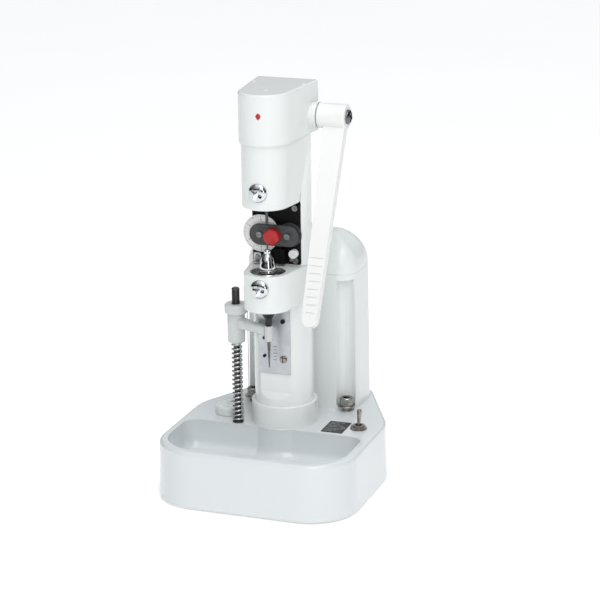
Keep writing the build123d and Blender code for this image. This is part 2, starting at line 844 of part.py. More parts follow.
# ---- head: presser quill, bracket, covers ----------------------------------------------
bracket_bottom_z = 294
bracket_top_z = return_spring_bottom_z - 1
bracket_plane = Plane(origin=(0, upper_flat_y - 4.1, 0), x_dir=(1, 0, 0), z_dir=(0, -1, 0))
with BuildPart() as quill_bracket:
    with BuildSketch(Plane.XY.offset(bracket_bottom_z)):
        with Locations((0, drill_y)):
            Circle(14.5)
        with Locations((0, drill_y + 12)):
            Rectangle(24, 24)
        with Locations((0, upper_flat_y - 2.1)):
            Rectangle(42, 4)
    extrude(amount=bracket_top_z - bracket_bottom_z)
    with BuildSketch(Plane.XY.offset(bracket_bottom_z)):
        with Locations((0, drill_y)):
            Circle(11)
    extrude(amount=bracket_top_z - bracket_bottom_z, mode=Mode.SUBTRACT)
    with BuildSketch(bracket_plane):
        with Locations(*bracket_screw_points):
            Circle(screw_shank_r + running_gap)
    extrude(amount=-5, mode=Mode.SUBTRACT)
    with BuildSketch(Plane.XZ.offset(-drill_y)):
        with Locations((0, cover_screw_z)):
            Circle(2.6)
    extrude(amount=20, mode=Mode.SUBTRACT)

with BuildPart() as quill_bush:
    with BuildSketch(Plane.XY.offset(bracket_bottom_z)):
        with Locations((0, drill_y)):
            Circle(10.95)
            Circle(quill_r + running_gap, mode=Mode.SUBTRACT)
    extrude(amount=return_spring_bottom_z - bracket_bottom_z - 0.2)

rack_pitch = pi * gear_module
with BuildPart() as quill:
    with BuildSketch(Plane.XY.offset(quill_bottom_z)):
        with Locations((0, drill_y)):
            Circle(quill_r)
    extrude(amount=quill_top_z - quill_bottom_z)
    with BuildSketch(Plane.XY.offset(quill_collar_z)):
        with Locations((0, drill_y)):
            Circle(11.4)
    extrude(amount=3)
    # Rack on the rear: a flat at the tooth tips, then one gap between each two teeth
    with BuildSketch(Plane.YZ):
        with Locations((rack_y + gear_module * 0.95 + 10, 373.5)):
            Rectangle(20, 41)
    extrude(amount=12, both=True, mode=Mode.SUBTRACT)
    with BuildSketch(Plane.YZ):
        for tooth in range(-4, 7):
            gap_z = lever_z + (tooth + 0.5) * rack_pitch
            wide = rack_pitch / 4 + 0.04 + gear_module * tan(radians(20))
            narrow = rack_pitch / 4 + 0.04 - 1.25 * gear_module * tan(radians(20))
            with BuildLine():
                Polyline(
                    (rack_y + gear_module, gap_z - wide),
                    (rack_y + gear_module, gap_z + wide),
                    (rack_y - 1.25 * gear_module, gap_z + narrow),
                    (rack_y - 1.25 * gear_module, gap_z - narrow),
                    close=True,
                )
            make_face()
    extrude(amount=12, both=True, mode=Mode.SUBTRACT)
    with BuildSketch(Plane.XY.offset(quill_bottom_z)):
        with Locations((0, drill_y)):
            Circle(1.5)
    extrude(amount=14, mode=Mode.SUBTRACT)

with BuildPart() as presser_pin:
    with BuildSketch(Plane.XY.offset(presser_tip_z)):
        with Locations((0, drill_y)):
            Circle(1.48)
            Circle(0.9, mode=Mode.SUBTRACT)
    extrude(amount=16)
    with BuildSketch(Plane.XY.offset(presser_tip_z + 16)):
        with Locations((0, drill_y)):
            Circle(1.48)
    extrude(amount=22)

with BuildPart() as return_spring:
    spring_wire_r = 0.8
    spring_bottom_z = return_spring_bottom_z + spring_wire_r
    spring_height = quill_collar_z - 0.1 - spring_wire_r - spring_bottom_z
    with BuildLine():
        return_coil = Helix(pitch=spring_height / 6, height=spring_height, radius=9.6,
                            center=(0, drill_y, spring_bottom_z))
    with BuildSketch(Plane(origin=return_coil @ 0, z_dir=return_coil % 0)):
        Circle(spring_wire_r)
    sweep(is_frenet=True)

with BuildPart() as front_cover:
    with BuildSketch(Plane.XY.offset(throat_roof_z)):
        add(head_plan(head_r, flank_r))
    extrude(amount=pillar_top_z - throat_roof_z)
    fillet(front_cover.edges().group_by(Axis.Z)[0], 2.2)
    with BuildSketch(Plane.XY.offset(throat_roof_z + 2.6)):
        add(head_plan(head_r - cover_wall, flank_r - cover_wall))
    extrude(amount=pillar_top_z - throat_roof_z, mode=Mode.SUBTRACT)
    with BuildSketch(Plane.XY.offset(throat_roof_z)):
        with Locations((0, drill_y)):
            Circle(10)
    extrude(amount=4, mode=Mode.SUBTRACT)
    # The rear edge sweeps up and back along the column
    with BuildSketch(Plane.YZ):
        with BuildLine():
            rear_edge = ThreePointArc(
                (drill_y + 17, throat_roof_z - 1), (drill_y + 30, 320), (drill_y + 42, 352))
            Polyline(rear_edge @ 1, (drill_y + 80, 352), (drill_y + 80, throat_roof_z - 1),
                     rear_edge @ 0)
        make_face()
    extrude(amount=40, both=True, mode=Mode.SUBTRACT)
    with BuildSketch(Plane.XY.offset(throat_roof_z - 1)):
        with Locations((0, pillar_y)):
            Circle(pillar_r + 0.15)
        with Locations((0, upper_flat_y - 20.15)):
            Rectangle(80, 40, mode=Mode.SUBTRACT)
    extrude(amount=70, mode=Mode.SUBTRACT)
    with BuildSketch(Plane.XZ.offset(head_r - 4 - drill_y)):
        with Locations((0, cover_screw_z)):
            Circle(cover_screw_r + 0.1)
    extrude(amount=2)
    with BuildSketch(Plane.XZ.offset(head_r - 2 - drill_y)):
        with Locations((0, cover_screw_z)):
            Circle(cover_screw_r + 0.1)
    extrude(amount=6, mode=Mode.SUBTRACT)
    with BuildSketch(Plane.XZ.offset(-drill_y)):
        with Locations((0, cover_screw_z)):
            Circle(2.6)
    extrude(amount=30, mode=Mode.SUBTRACT)

with BuildPart() as cover_screws:
    for screw_z, shank_length in ((nose_screw_z, 5.5), (cover_screw_z, 9)):
        add(cross_screw(cover_screw_r, 5.2, 2.5, shank_length, Plane(
            origin=(0, drill_y - head_r + 2, screw_z), x_dir=(1, 0, 0), z_dir=(0, -1, 0))))

# ---- lever gear train on its frame -------------------------------------------------------
with BuildPart() as head_frame:
    with BuildSketch(Plane.XY.offset(pillar_top_z + 0.2)):
        with BuildLine():
            Polyline((-20, drill_y + 4), (20, drill_y + 4), (24, drill_y + 60),
                     (-24, drill_y + 60), close=True)
        make_face()
        with Locations((0, drill_y)):
            Circle(13, mode=Mode.SUBTRACT)
        with Locations((0, drill_y + 29)):
            Rectangle(10, 58, mode=Mode.SUBTRACT)
        with Locations(*head_frame_screw_spots):
            Circle(2.1, mode=Mode.SUBTRACT)
    extrude(amount=3.4)
    for side in (-1, 1):
        with BuildSketch(Plane.YZ.offset(side * (cheek_inner_x + cheek_outer_x) / 2)):
            with BuildLine():
                Polyline(
                    (idler_y - 8, pillar_top_z + 0.2), (idler_y - 8, lever_z + 6),
                    (idler_y - 2, lever_z + 12), (lever_y + 2, lever_z + 16),
                    (lever_y + 9, lever_z + 12), (lever_y + 9, pillar_top_z + 0.2),
                    close=True,
                )
            make_face()
            with Locations((lever_y, lever_z)):
                Circle(8, mode=Mode.SUBTRACT)
            with Locations((idler_y, lever_z)):
                Circle(3.02, mode=Mode.SUBTRACT)
        extrude(amount=(cheek_outer_x - cheek_inner_x) / 2, both=True)

with BuildPart() as lever_bushes:
    for side in (-1, 1):
        with BuildSketch(Plane.YZ.offset(side * (cheek_inner_x + cheek_outer_x) / 2)):
            with Locations((lever_y, lever_z)):
                Circle(7.95)
                Circle(shaft_r + running_gap, mode=Mode.SUBTRACT)
        extrude(amount=(cheek_outer_x - cheek_inner_x) / 2, both=True)

with BuildPart() as idler_pin:
    with BuildSketch(Plane.YZ.offset(-cheek_outer_x - 1)):
        with Locations((idler_y, lever_z)):
            Circle(3)
    extrude(amount=2 * cheek_outer_x + 2)

with BuildPart() as idler_gear:
    with BuildSketch(Plane.YZ):
        with BuildLine():
            Polyline(*gear_outline((idler_y, lever_z), gear_module, idler_teeth,
                                   180 / idler_teeth), close=True)
        make_face()
    extrude(amount=gear_half_width, both=True)
    with BuildSketch(Plane.YZ):
        with Locations((idler_y, lever_z)):
            Circle(6)
    extrude(amount=cheek_inner_x - loose_gap, both=True)
    with BuildSketch(Plane.YZ):
        with Locations((idler_y, lever_z)):
            Circle(3 + running_gap)
    extrude(amount=cheek_inner_x, both=True, mode=Mode.SUBTRACT)

with BuildPart() as sector_gear:
    with BuildSketch(Plane.YZ):
        with BuildLine():
            Polyline(*gear_outline((lever_y, lever_z), gear_module, sector_teeth, 180),
                     close=True)
        make_face()
        # Only the stretch that meets the idler keeps its teeth
        with BuildLine():
            Polyline(
                (lever_y, lever_z),
                *[(lever_y + 24 * cos(radians(turn)), lever_z + 24 * sin(radians(turn)))
                  for turn in (162, 190, 215, 236)],
                close=True,
            )
        make_face(mode=Mode.INTERSECT)
        with Locations((lever_y, lever_z)):
            Circle(9)
            Circle(shaft_r + 0.02, mode=Mode.SUBTRACT)
    extrude(amount=gear_half_width, both=True)
    with BuildSketch(Plane.YZ):
        with Locations((lever_y, lever_z)):
            Circle(8.5)
            Circle(shaft_r + 0.02, mode=Mode.SUBTRACT)
    extrude(amount=cheek_inner_x - loose_gap, both=True)

with BuildPart() as lever_shaft:
    with BuildSketch(Plane.YZ.offset(-20)):
        with Locations((lever_y, lever_z)):
            Circle(shaft_r)
    extrude(amount=80)
    with BuildSketch(Plane.YZ.offset(60)):
        with Locations((lever_y, lever_z)):
            Circle(2.5)
    extrude(amount=-14, mode=Mode.SUBTRACT)

lean = radians(lever_lean)
arm_plane = Plane(origin=(lever_mid_x, lever_y, lever_z), x_dir=(1, 0, 0),
                  z_dir=(0, -cos(lean), sin(lean)))
with BuildPart() as pull_lever:
    with BuildSketch(Plane.YZ.offset(36.6)):
        with Locations((lever_y, lever_z)):
            Circle(lever_hub_r)
    extrude(amount=lever_hub_end_x - 36.6)
    fillet(pull_lever.edges().filter_by(GeomType.CIRCLE).sort_by(Axis.X)[-1], 1.5)
    with BuildSketch(arm_plane):
        with BuildLine():
            Polyline((-11, 0), (11, 0), (7.2, 7.2 - lever_length),
                     (-7.2, 7.2 - lever_length), close=True)
        make_face()
        with Locations((0, 7.2 - lever_length)):
            Circle(7.2)
    extrude(amount=4.75, both=True)
    arm_face = pull_lever.faces().sort_by(Axis(arm_plane.origin, arm_plane.z_dir))[-1]
    fillet(arm_face.edges().filter_by(GeomType.LINE, reverse=True), 1.5)
    with BuildSketch(arm_plane.offset(4.75)):
        for groove in range(8):
            distance = lever_length - 13.5 - 7.5 * groove
            with Locations((0, -distance)):
                SlotOverall(9.5 + 0.4 * groove, 1.2)
    extrude(amount=-0.7, mode=Mode.SUBTRACT)
    with BuildSketch(Plane.YZ.offset(36)):
        with Locations((lever_y, lever_z)):
            Circle(shaft_r + 0.02)
    extrude(amount=24.1, mode=Mode.SUBTRACT)
    with BuildSketch(Plane.YZ.offset(60)):
        with Locations((lever_y, lever_z)):
            Circle(2.6)
    extrude(amount=6, mode=Mode.SUBTRACT)

hub_end = Plane(origin=(lever_hub_end_x, lever_y, lever_z), x_dir=(0, 1, 0), z_dir=(1, 0, 0))
with BuildPart() as lever_screw:
    add(cross_screw(7.2, 3.6, 2.45, 18, hub_end))

with BuildPart() as head_cap:
    with BuildSketch(Plane.XY.offset(cap_bottom_z)):
        add(cap_plan())
    extrude(amount=cap_top_z - cap_bottom_z)
    fillet(head_cap.edges().group_by(Axis.Z)[-1], 2.2)
    with BuildSketch(Plane.YZ.offset(25)):
        with Locations((lever_y, lever_z)):
            Circle(12.8)
    extrude(amount=36 - 25)
    with BuildSketch(Plane.XY.offset(cap_bottom_z)):
        add(cap_plan(cap_wall))
    extrude(amount=cap_top_z - cap_bottom_z - cap_wall, mode=Mode.SUBTRACT)
    with BuildSketch(Plane.YZ.offset(20)):
        with Locations((lever_y, lever_z)):
            Circle(shaft_r + 0.5)
    extrude(amount=20, mode=Mode.SUBTRACT)

# ---- motor, belt and housing ----------------------------------------------------------
motor_bottom_z = deck_z + 0.1
motor_flange = 6
motor_top_z = 172
with BuildPart() as motor_body:
    with BuildSketch(Plane.XY.offset(motor_bottom_z)):
        with Locations((0, motor_y)):
            RectangleRounded(66, 66, 6)
        with Locations(*motor_screw_spots):
            Circle(screw_shank_r + running_gap, mode=Mode.SUBTRACT)
    extrude(amount=motor_flange)
    with BuildSketch(Plane.XY.offset(motor_bottom_z)):
        with Locations((0, motor_y)):
            Circle(31)
    extrude(amount=motor_top_z - motor_bottom_z)
    with BuildSketch(Plane.XY.offset(motor_top_z - 16)):
        with Locations((0, motor_y)):
            RectangleRounded(60, 60, 16)
    extrude(amount=16)
    with BuildSketch(Plane.XY.offset(motor_top_z)):
        with Locations((0, motor_y)):
            Circle(14)
    extrude(amount=6)
    with BuildSketch(Plane.XY.offset(motor_bottom_z + 6)):
        with Locations((0, motor_y)):
            Circle(spindle_r + running_gap)
    extrude(amount=motor_top_z, mode=Mode.SUBTRACT)

# Socket screws of one size hold the quill bracket, the head frame and the motor
with BuildPart() as socket_screws:
    for seat, points in (
        (bracket_plane, bracket_screw_points),
        (Plane.XY.offset(pillar_top_z + 3.6), head_frame_screw_spots),
        (Plane.XY.offset(motor_bottom_z + motor_flange), motor_screw_spots),
    ):
        with BuildSketch(seat):
            with Locations(*points):
                Circle(3.5)
                RegularPolygon(1.7, 6, mode=Mode.SUBTRACT)
        extrude(amount=4)
        with BuildSketch(seat):
            with Locations(*points):
                Circle(screw_shank_r)
        extrude(amount=-screw_length)

with BuildPart() as motor_shaft:
    with BuildSketch(Plane.XY.offset(motor_bottom_z + 7)):
        with Locations((0, motor_y)):
            Circle(spindle_r)
    extrude(amount=belt_z + 7 - motor_bottom_z - 7)

with BuildPart() as motor_pulley:
    with BuildSketch(half_section(0, motor_y)):
        with BuildLine():
            Polyline(*grooved_pulley(motor_pulley_r), close=True)
        make_face()
    revolve(axis=upright(0, motor_y))

with BuildPart() as drive_belt:
    half_belt = belt_size / 2
    with BuildSketch(Plane.XY.offset(belt_z - half_belt)):
        add(belt_loop(spindle_pulley_r + half_belt, motor_pulley_r + half_belt))
        add(belt_loop(spindle_pulley_r - half_belt, motor_pulley_r - half_belt),
            mode=Mode.SUBTRACT)
    extrude(amount=belt_size)

with BuildPart() as belt_duct:
    with BuildSketch(Plane.XZ.offset(-(housing_front_y + 1))):
        with Locations((0, belt_z)):
            RectangleRounded(42, 13.4, 3)
            RectangleRounded(38, 9.4, 1.5, mode=Mode.SUBTRACT)
    extrude(amount=24)
    with BuildSketch(Plane.XY.offset(belt_z - 10)):
        with Locations((0, pillar_y)):
            Circle(pillar_r + 0.15)
    extrude(amount=20, mode=Mode.SUBTRACT)

screw_spots = [(-cap_screw_x, cap_screw_y), (cap_screw_x, cap_screw_y)]
with BuildPart() as motor_housing:
    with BuildSketch(Plane.XY.offset(deck_z)):
        add(housing_plan())
    extrude(amount=housing_seam_z - deck_z, taper=0.6)
    with BuildSketch(Plane.XY.offset(deck_z)):
        add(housing_plan(housing_wall))
        with Locations(*screw_spots):
            Circle(13, mode=Mode.SUBTRACT)
    extrude(amount=housing_seam_z - deck_z, taper=0.6, mode=Mode.SUBTRACT)
    # Access channels down to the two housing screws
    with BuildSketch(Plane.XY.offset(lug_top_z)):
        with Locations(*screw_spots):
            Circle(10.2)
    extrude(amount=housing_seam_z - 6 - lug_top_z, mode=Mode.SUBTRACT)
    with BuildSketch(Plane.XY.offset(deck_z)):
        with Locations(*screw_spots):
            Circle(4.3)
    extrude(amount=5, mode=Mode.SUBTRACT)
    # Ventilation slots in the rear wall
    with BuildSketch(Plane.XZ.offset(-(housing_rear_y + 2))):
        with GridLocations(9, 1, 5, 1):
            with Locations((0, 120)):
                SlotOverall(46, 3.4, rotation=90)
    extrude(amount=8, mode=Mode.SUBTRACT)

seam_inset = (housing_seam_z - deck_z) * tan(radians(0.6))
dome_steps = [(0, 0), (9, 0.9), (18, 4.5), (26, 11), (32, 19), (36, 29)]
with BuildPart() as housing_lid:
    for rise, inset in dome_steps:
        with BuildSketch(Plane.XY.offset(housing_seam_z + 0.2 + rise * 0.994)):
            add(housing_plan(seam_inset + inset))
    loft()
    with BuildSketch(Plane.XY.offset(housing_seam_z)):
        add(housing_plan(seam_inset + housing_wall))
    extrude(amount=12, mode=Mode.SUBTRACT)
    with BuildSketch(Plane.XY.offset(housing_seam_z + 12)):
        add(housing_plan(seam_inset + housing_wall + 8))
    extrude(amount=10, mode=Mode.SUBTRACT)
    # Mouth for the belt duct
    with BuildSketch(Plane.XZ.offset(-(housing_front_y + 10))):
        with Locations((0, belt_z - 1)):
            Rectangle(42.6, 16)
    extrude(amount=14, mode=Mode.SUBTRACT)

with BuildPart() as housing_screws:
    with BuildSketch(Plane.XY.offset(lug_top_z)):
        with Locations(*screw_spots):
            Circle(9)
    extrude(amount=1.6)
    with BuildSketch(Plane.XY.offset(lug_top_z + 1.6)):
        with Locations(*screw_spots):
            Circle(6.5)
    extrude(amount=8)
    chamfer(housing_screws.edges().group_by(Axis.Z)[-1], 0.6)
    with BuildSketch(Plane.XY.offset(lug_top_z + 9.6)):
        with Locations(*screw_spots):
            RegularPolygon(3.45, 6)
    extrude(amount=-4.5, mode=Mode.SUBTRACT)
    with BuildSketch(Plane.XY.offset(lug_top_z)):
        with Locations(*screw_spots):
            Circle(3.9)
    extrude(amount=-14)

# ---- controls and wiring -----------------------------------------------------------------
with BuildPart() as power_switch:
    with BuildSketch(Plane.XY.offset(deck_z - deck_thickness - 22)):
        with Locations((toggle_x, toggle_y)):
            Rectangle(14, 24)
    extrude(amount=21.8)
    with BuildSketch(Plane.XY.offset(deck_z - deck_thickness - 1)):
        with Locations((toggle_x, toggle_y)):
            Circle(5.9)
    extrude(amount=deck_thickness + 5)
    with BuildSketch(Plane.XY.offset(deck_z + 4)):
        with Locations((toggle_x, toggle_y)):
            Circle(3.6)
    extrude(amount=-5.5, mode=Mode.SUBTRACT)

with BuildPart() as switch_nut:
    with BuildSketch(Plane.XY.offset(deck_z + 0.1)):
        with Locations((toggle_x, toggle_y)):
            RegularPolygon(8, 6)
            Circle(5.95, mode=Mode.SUBTRACT)
    extrude(amount=2.6)

toggle_lean = radians(10)
toggle_plane = Plane(origin=(toggle_x, toggle_y, deck_z + 1), x_dir=(1, 0, 0),
                     z_dir=(0, -cos(toggle_lean), sin(toggle_lean)))
with BuildPart() as toggle_lever:
    with BuildSketch(toggle_plane):
        with BuildLine():
            Polyline(
                (0, -0.5), (1.4, -0.5), (1.5, 6), (2.6, 16.4), (2.2, 17.9), (1.2, 18.7),
                (0, 18.9),
                close=True,
            )
        make_face()
    revolve(axis=Axis(toggle_plane.origin, toggle_plane.y_dir))

with BuildPart() as speed_control:
    with BuildSketch(Plane.XY.offset(deck_z - deck_thickness - 10)):
        with Locations((knob_x, knob_y)):
            Circle(10)
    extrude(amount=9.8)
    with BuildSketch(Plane.XY.offset(deck_z - deck_thickness - 1)):
        with Locations((knob_x, knob_y)):
            Circle(4.5)
            Circle(3.05, mode=Mode.SUBTRACT)
    extrude(amount=deck_thickness + 1)

with BuildPart() as speed_knob:
    with BuildSketch(Plane.XY.offset(deck_z + 0.4)):
        with Locations((knob_x, knob_y)):
            Circle(14)
    extrude(amount=8.2)
    fillet(speed_knob.edges().group_by(Axis.Z)[-1], 1.6)
    with BuildSketch(Plane.XY.offset(deck_z + 8.6)):
        with Locations((knob_x, knob_y + 8.5)):
            Rectangle(1.4, 7)
    extrude(amount=-0.6, mode=Mode.SUBTRACT)
    with BuildSketch(Plane.XY.offset(deck_z + 0.4)):
        with Locations((knob_x, knob_y)):
            Circle(3)
    extrude(amount=-4.4)

with BuildPart() as power_inlet:
    with BuildSketch(Plane.XZ.offset(-(base_half_length - 3))):
        with Locations((0, 29)):
            Rectangle(27.6, 20)
            RectangleRounded(22, 14, 1, mode=Mode.SUBTRACT)
    extrude(amount=16)
    with BuildSketch(Plane.XZ.offset(-(base_half_length - 18))):
        with Locations((0, 29)):
            Rectangle(27.6, 20)
    extrude(amount=3)
    with BuildSketch(Plane.XZ.offset(-(base_half_length - 10))):
        with Locations((0, 29), (-7, 29), (7, 29)):
            Rectangle(2, 4)
    extrude(amount=10)

# ---- write one STEP file per piece ---------------------------------------------------
pieces = {
    "base_tray": base_tray, "base_plate": base_plate, "rubber_feet": rubber_feet,
    "base_plate_screws": base_plate_screws, "pillar": pillar, "pillar_collar": pillar_collar,
    "pillar_bolts": pillar_bolts, "nose_housing": nose_housing, "spindle_frame": spindle_frame,
    "spindle_bearings": spindle_bearings, "spindle_shaft": spindle_shaft,
    "spindle_pulley": spindle_pulley, "drill_chuck": drill_chuck, "drill_bit": drill_bit,
    "reamer_collet": reamer_collet, "reamer": reamer, "throat_plate": throat_plate,
    "gauge_bridge": gauge_bridge, "throat_screws": throat_screws, "gauge_dial": gauge_dial,
    "gauge_wheel": gauge_wheel, "gauge_knob": gauge_knob, "lens_stop": lens_stop,
    "scale_plate": scale_plate, "scale_screws": scale_screws, "stop_post": stop_post,
    "stop_spring": stop_spring, "stop_arm": stop_arm, "stop_nut": stop_nut,
    "quill_bracket": quill_bracket, "quill_bush": quill_bush, "quill": quill,
    "presser_pin": presser_pin, "return_spring": return_spring, "front_cover": front_cover,
    "cover_screws": cover_screws, "head_frame": head_frame, "lever_bushes": lever_bushes,
    "idler_pin": idler_pin, "idler_gear": idler_gear, "sector_gear": sector_gear,
    "lever_shaft": lever_shaft, "pull_lever": pull_lever, "lever_screw": lever_screw,
    "head_cap": head_cap, "motor_body": motor_body, "socket_screws": socket_screws,
    "motor_shaft": motor_shaft, "motor_pulley": motor_pulley, "drive_belt": drive_belt,
    "belt_duct": belt_duct, "motor_housing": motor_housing, "housing_lid": housing_lid,
    "housing_screws": housing_screws, "power_switch": power_switch, "switch_nut": switch_nut,
    "toggle_lever": toggle_lever, "speed_control": speed_control, "speed_knob": speed_knob,
    "power_inlet": power_inlet,
}
for name, piece in pieces.items():
    piece.part.label = name
    export_step(piece.part, f"parts/{name}.step")
print(len(pieces), "pieces")
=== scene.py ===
"""Looks for the hand-lever lens drilling machine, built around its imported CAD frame.

Metres, in the CAD's frame: +Z up, the operator's side towards -Y.
"""
import math

import bmesh
import bpy
from mathutils import Matrix, Vector


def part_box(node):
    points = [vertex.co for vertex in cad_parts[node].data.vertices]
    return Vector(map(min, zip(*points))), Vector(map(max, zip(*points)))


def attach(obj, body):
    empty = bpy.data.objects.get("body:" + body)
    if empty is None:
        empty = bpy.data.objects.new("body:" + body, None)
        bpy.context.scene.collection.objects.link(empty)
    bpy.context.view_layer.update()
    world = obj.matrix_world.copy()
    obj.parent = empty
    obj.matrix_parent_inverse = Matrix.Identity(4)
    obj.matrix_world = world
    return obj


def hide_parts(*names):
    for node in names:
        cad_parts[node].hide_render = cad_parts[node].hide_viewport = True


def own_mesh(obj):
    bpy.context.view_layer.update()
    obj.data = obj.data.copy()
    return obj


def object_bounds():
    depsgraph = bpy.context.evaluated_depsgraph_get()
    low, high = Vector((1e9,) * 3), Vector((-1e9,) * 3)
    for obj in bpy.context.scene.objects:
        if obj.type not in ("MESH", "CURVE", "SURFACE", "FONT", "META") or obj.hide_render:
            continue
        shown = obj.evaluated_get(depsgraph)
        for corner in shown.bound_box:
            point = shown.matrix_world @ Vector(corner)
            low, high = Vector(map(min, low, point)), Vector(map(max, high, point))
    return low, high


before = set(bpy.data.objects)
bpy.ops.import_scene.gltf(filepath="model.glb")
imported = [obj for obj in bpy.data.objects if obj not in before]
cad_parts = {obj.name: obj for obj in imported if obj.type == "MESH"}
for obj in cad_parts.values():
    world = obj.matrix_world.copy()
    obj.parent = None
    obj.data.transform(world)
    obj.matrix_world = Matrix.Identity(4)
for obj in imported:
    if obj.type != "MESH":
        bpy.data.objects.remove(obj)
cad_low, cad_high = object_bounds()

MM = 0.001
TURN = 2 * math.pi
FRONT = Vector((0, -1, 0))
UP = Vector((0, 0, 1))
RIGHT = Vector((1, 0, 0))


def middle(node):
    """Middle of a CAD node's box."""
    low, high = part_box(node)
    return (low + high) / 2


def standing(node):
    """An upright CAD node's foot, in metres, and its radius and height, in mm."""
    low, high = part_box(node)
    foot = Vector(((low.x + high.x) / 2, (low.y + high.y) / 2, low.z))
    return foot, (high.x - low.x) / 2 / MM, (high.z - low.z) / MM


def squared(value, power):
    """A sine or cosine bent by a power, with its sign kept, for rounded outlines."""
    return math.copysign(abs(value) ** power, value)


# ---- materials ----------------------------------------------------------------------
def surface(name, dark, light, patch=35, rough=(0.25, 0.35), grain=700, bump=0.08,
            depth=0.05, stretch=(1, 1, 1), metallic=0.0, coat=0.0, speck=0.0, specular=0.5):
    """A node material: two tones in soft patches, uneven gloss and a fine grain.

    patch and grain are noise scales per metre, depth is the grain's height in mm,
    stretch draws the grain out along an axis, and speck darkens small pits.
    """
    material = bpy.data.materials.new(name)
    material.use_nodes = True
    nodes, links = material.node_tree.nodes, material.node_tree.links
    shader = nodes["Principled BSDF"]
    shader.inputs["Metallic"].default_value = metallic
    shader.inputs["Coat Weight"].default_value = coat
    shader.inputs["Coat Roughness"].default_value = 0.08
    shader.inputs["Specular IOR Level"].default_value = specular
    place = nodes.new("ShaderNodeTexCoord").outputs["Object"]

    def noise(scale, detail, drawn=False):
        texture = nodes.new("ShaderNodeTexNoise")
        texture.inputs["Scale"].default_value = scale
        texture.inputs["Detail"].default_value = detail
        source = place
        if drawn:
            mapping = nodes.new("ShaderNodeMapping")
            mapping.inputs["Scale"].default_value = stretch
            links.new(place, mapping.inputs["Vector"])
            source = mapping.outputs["Vector"]
        links.new(source, texture.inputs["Vector"])
        return texture.outputs["Fac"]

    tones = nodes.new("ShaderNodeValToRGB")
    tones.color_ramp.elements[0].position = 0.35
    tones.color_ramp.elements[1].position = 0.65
    tones.color_ramp.elements[0].color = (*dark, 1)
    tones.color_ramp.elements[1].color = (*light, 1)
    links.new(noise(patch, 3), tones.inputs["Fac"])
    colour = tones.outputs["Color"]
    if speck:
        pits = nodes.new("ShaderNodeValToRGB")
        pits.color_ramp.elements[0].position = 0.30
        pits.color_ramp.elements[1].position = 0.42
        pits.color_ramp.elements[0].color = (1 - speck,) * 3 + (1,)
        pits.color_ramp.elements[1].color = (1, 1, 1, 1)
        links.new(noise(grain / 2, 2), pits.inputs["Fac"])
        shade = nodes.new("ShaderNodeMix")
        shade.data_type = "RGBA"
        shade.blend_type = "MULTIPLY"
        shade.inputs["Factor"].default_value = 1
        links.new(colour, shade.inputs["A"])
        links.new(pits.outputs["Color"], shade.inputs["B"])
        colour = shade.outputs["Result"]
    links.new(colour, shader.inputs["Base Color"])

    gloss = nodes.new("ShaderNodeMapRange")
    gloss.inputs["From Min"].default_value = 0.3
    gloss.inputs["From Max"].default_value = 0.7
    gloss.inputs["To Min"].default_value, gloss.inputs["To Max"].default_value = rough
    links.new(noise(grain / 6, 4, drawn=True), gloss.inputs["Value"])
    links.new(gloss.outputs["Result"], shader.inputs["Roughness"])

    relief = nodes.new("ShaderNodeBump")
    relief.inputs["Strength"].default_value = bump
    relief.inputs["Distance"].default_value = depth * MM
    links.new(noise(grain, 3, drawn=True), relief.inputs["Height"])
    links.new(relief.outputs["Normal"], shader.inputs["Normal"])
    return material


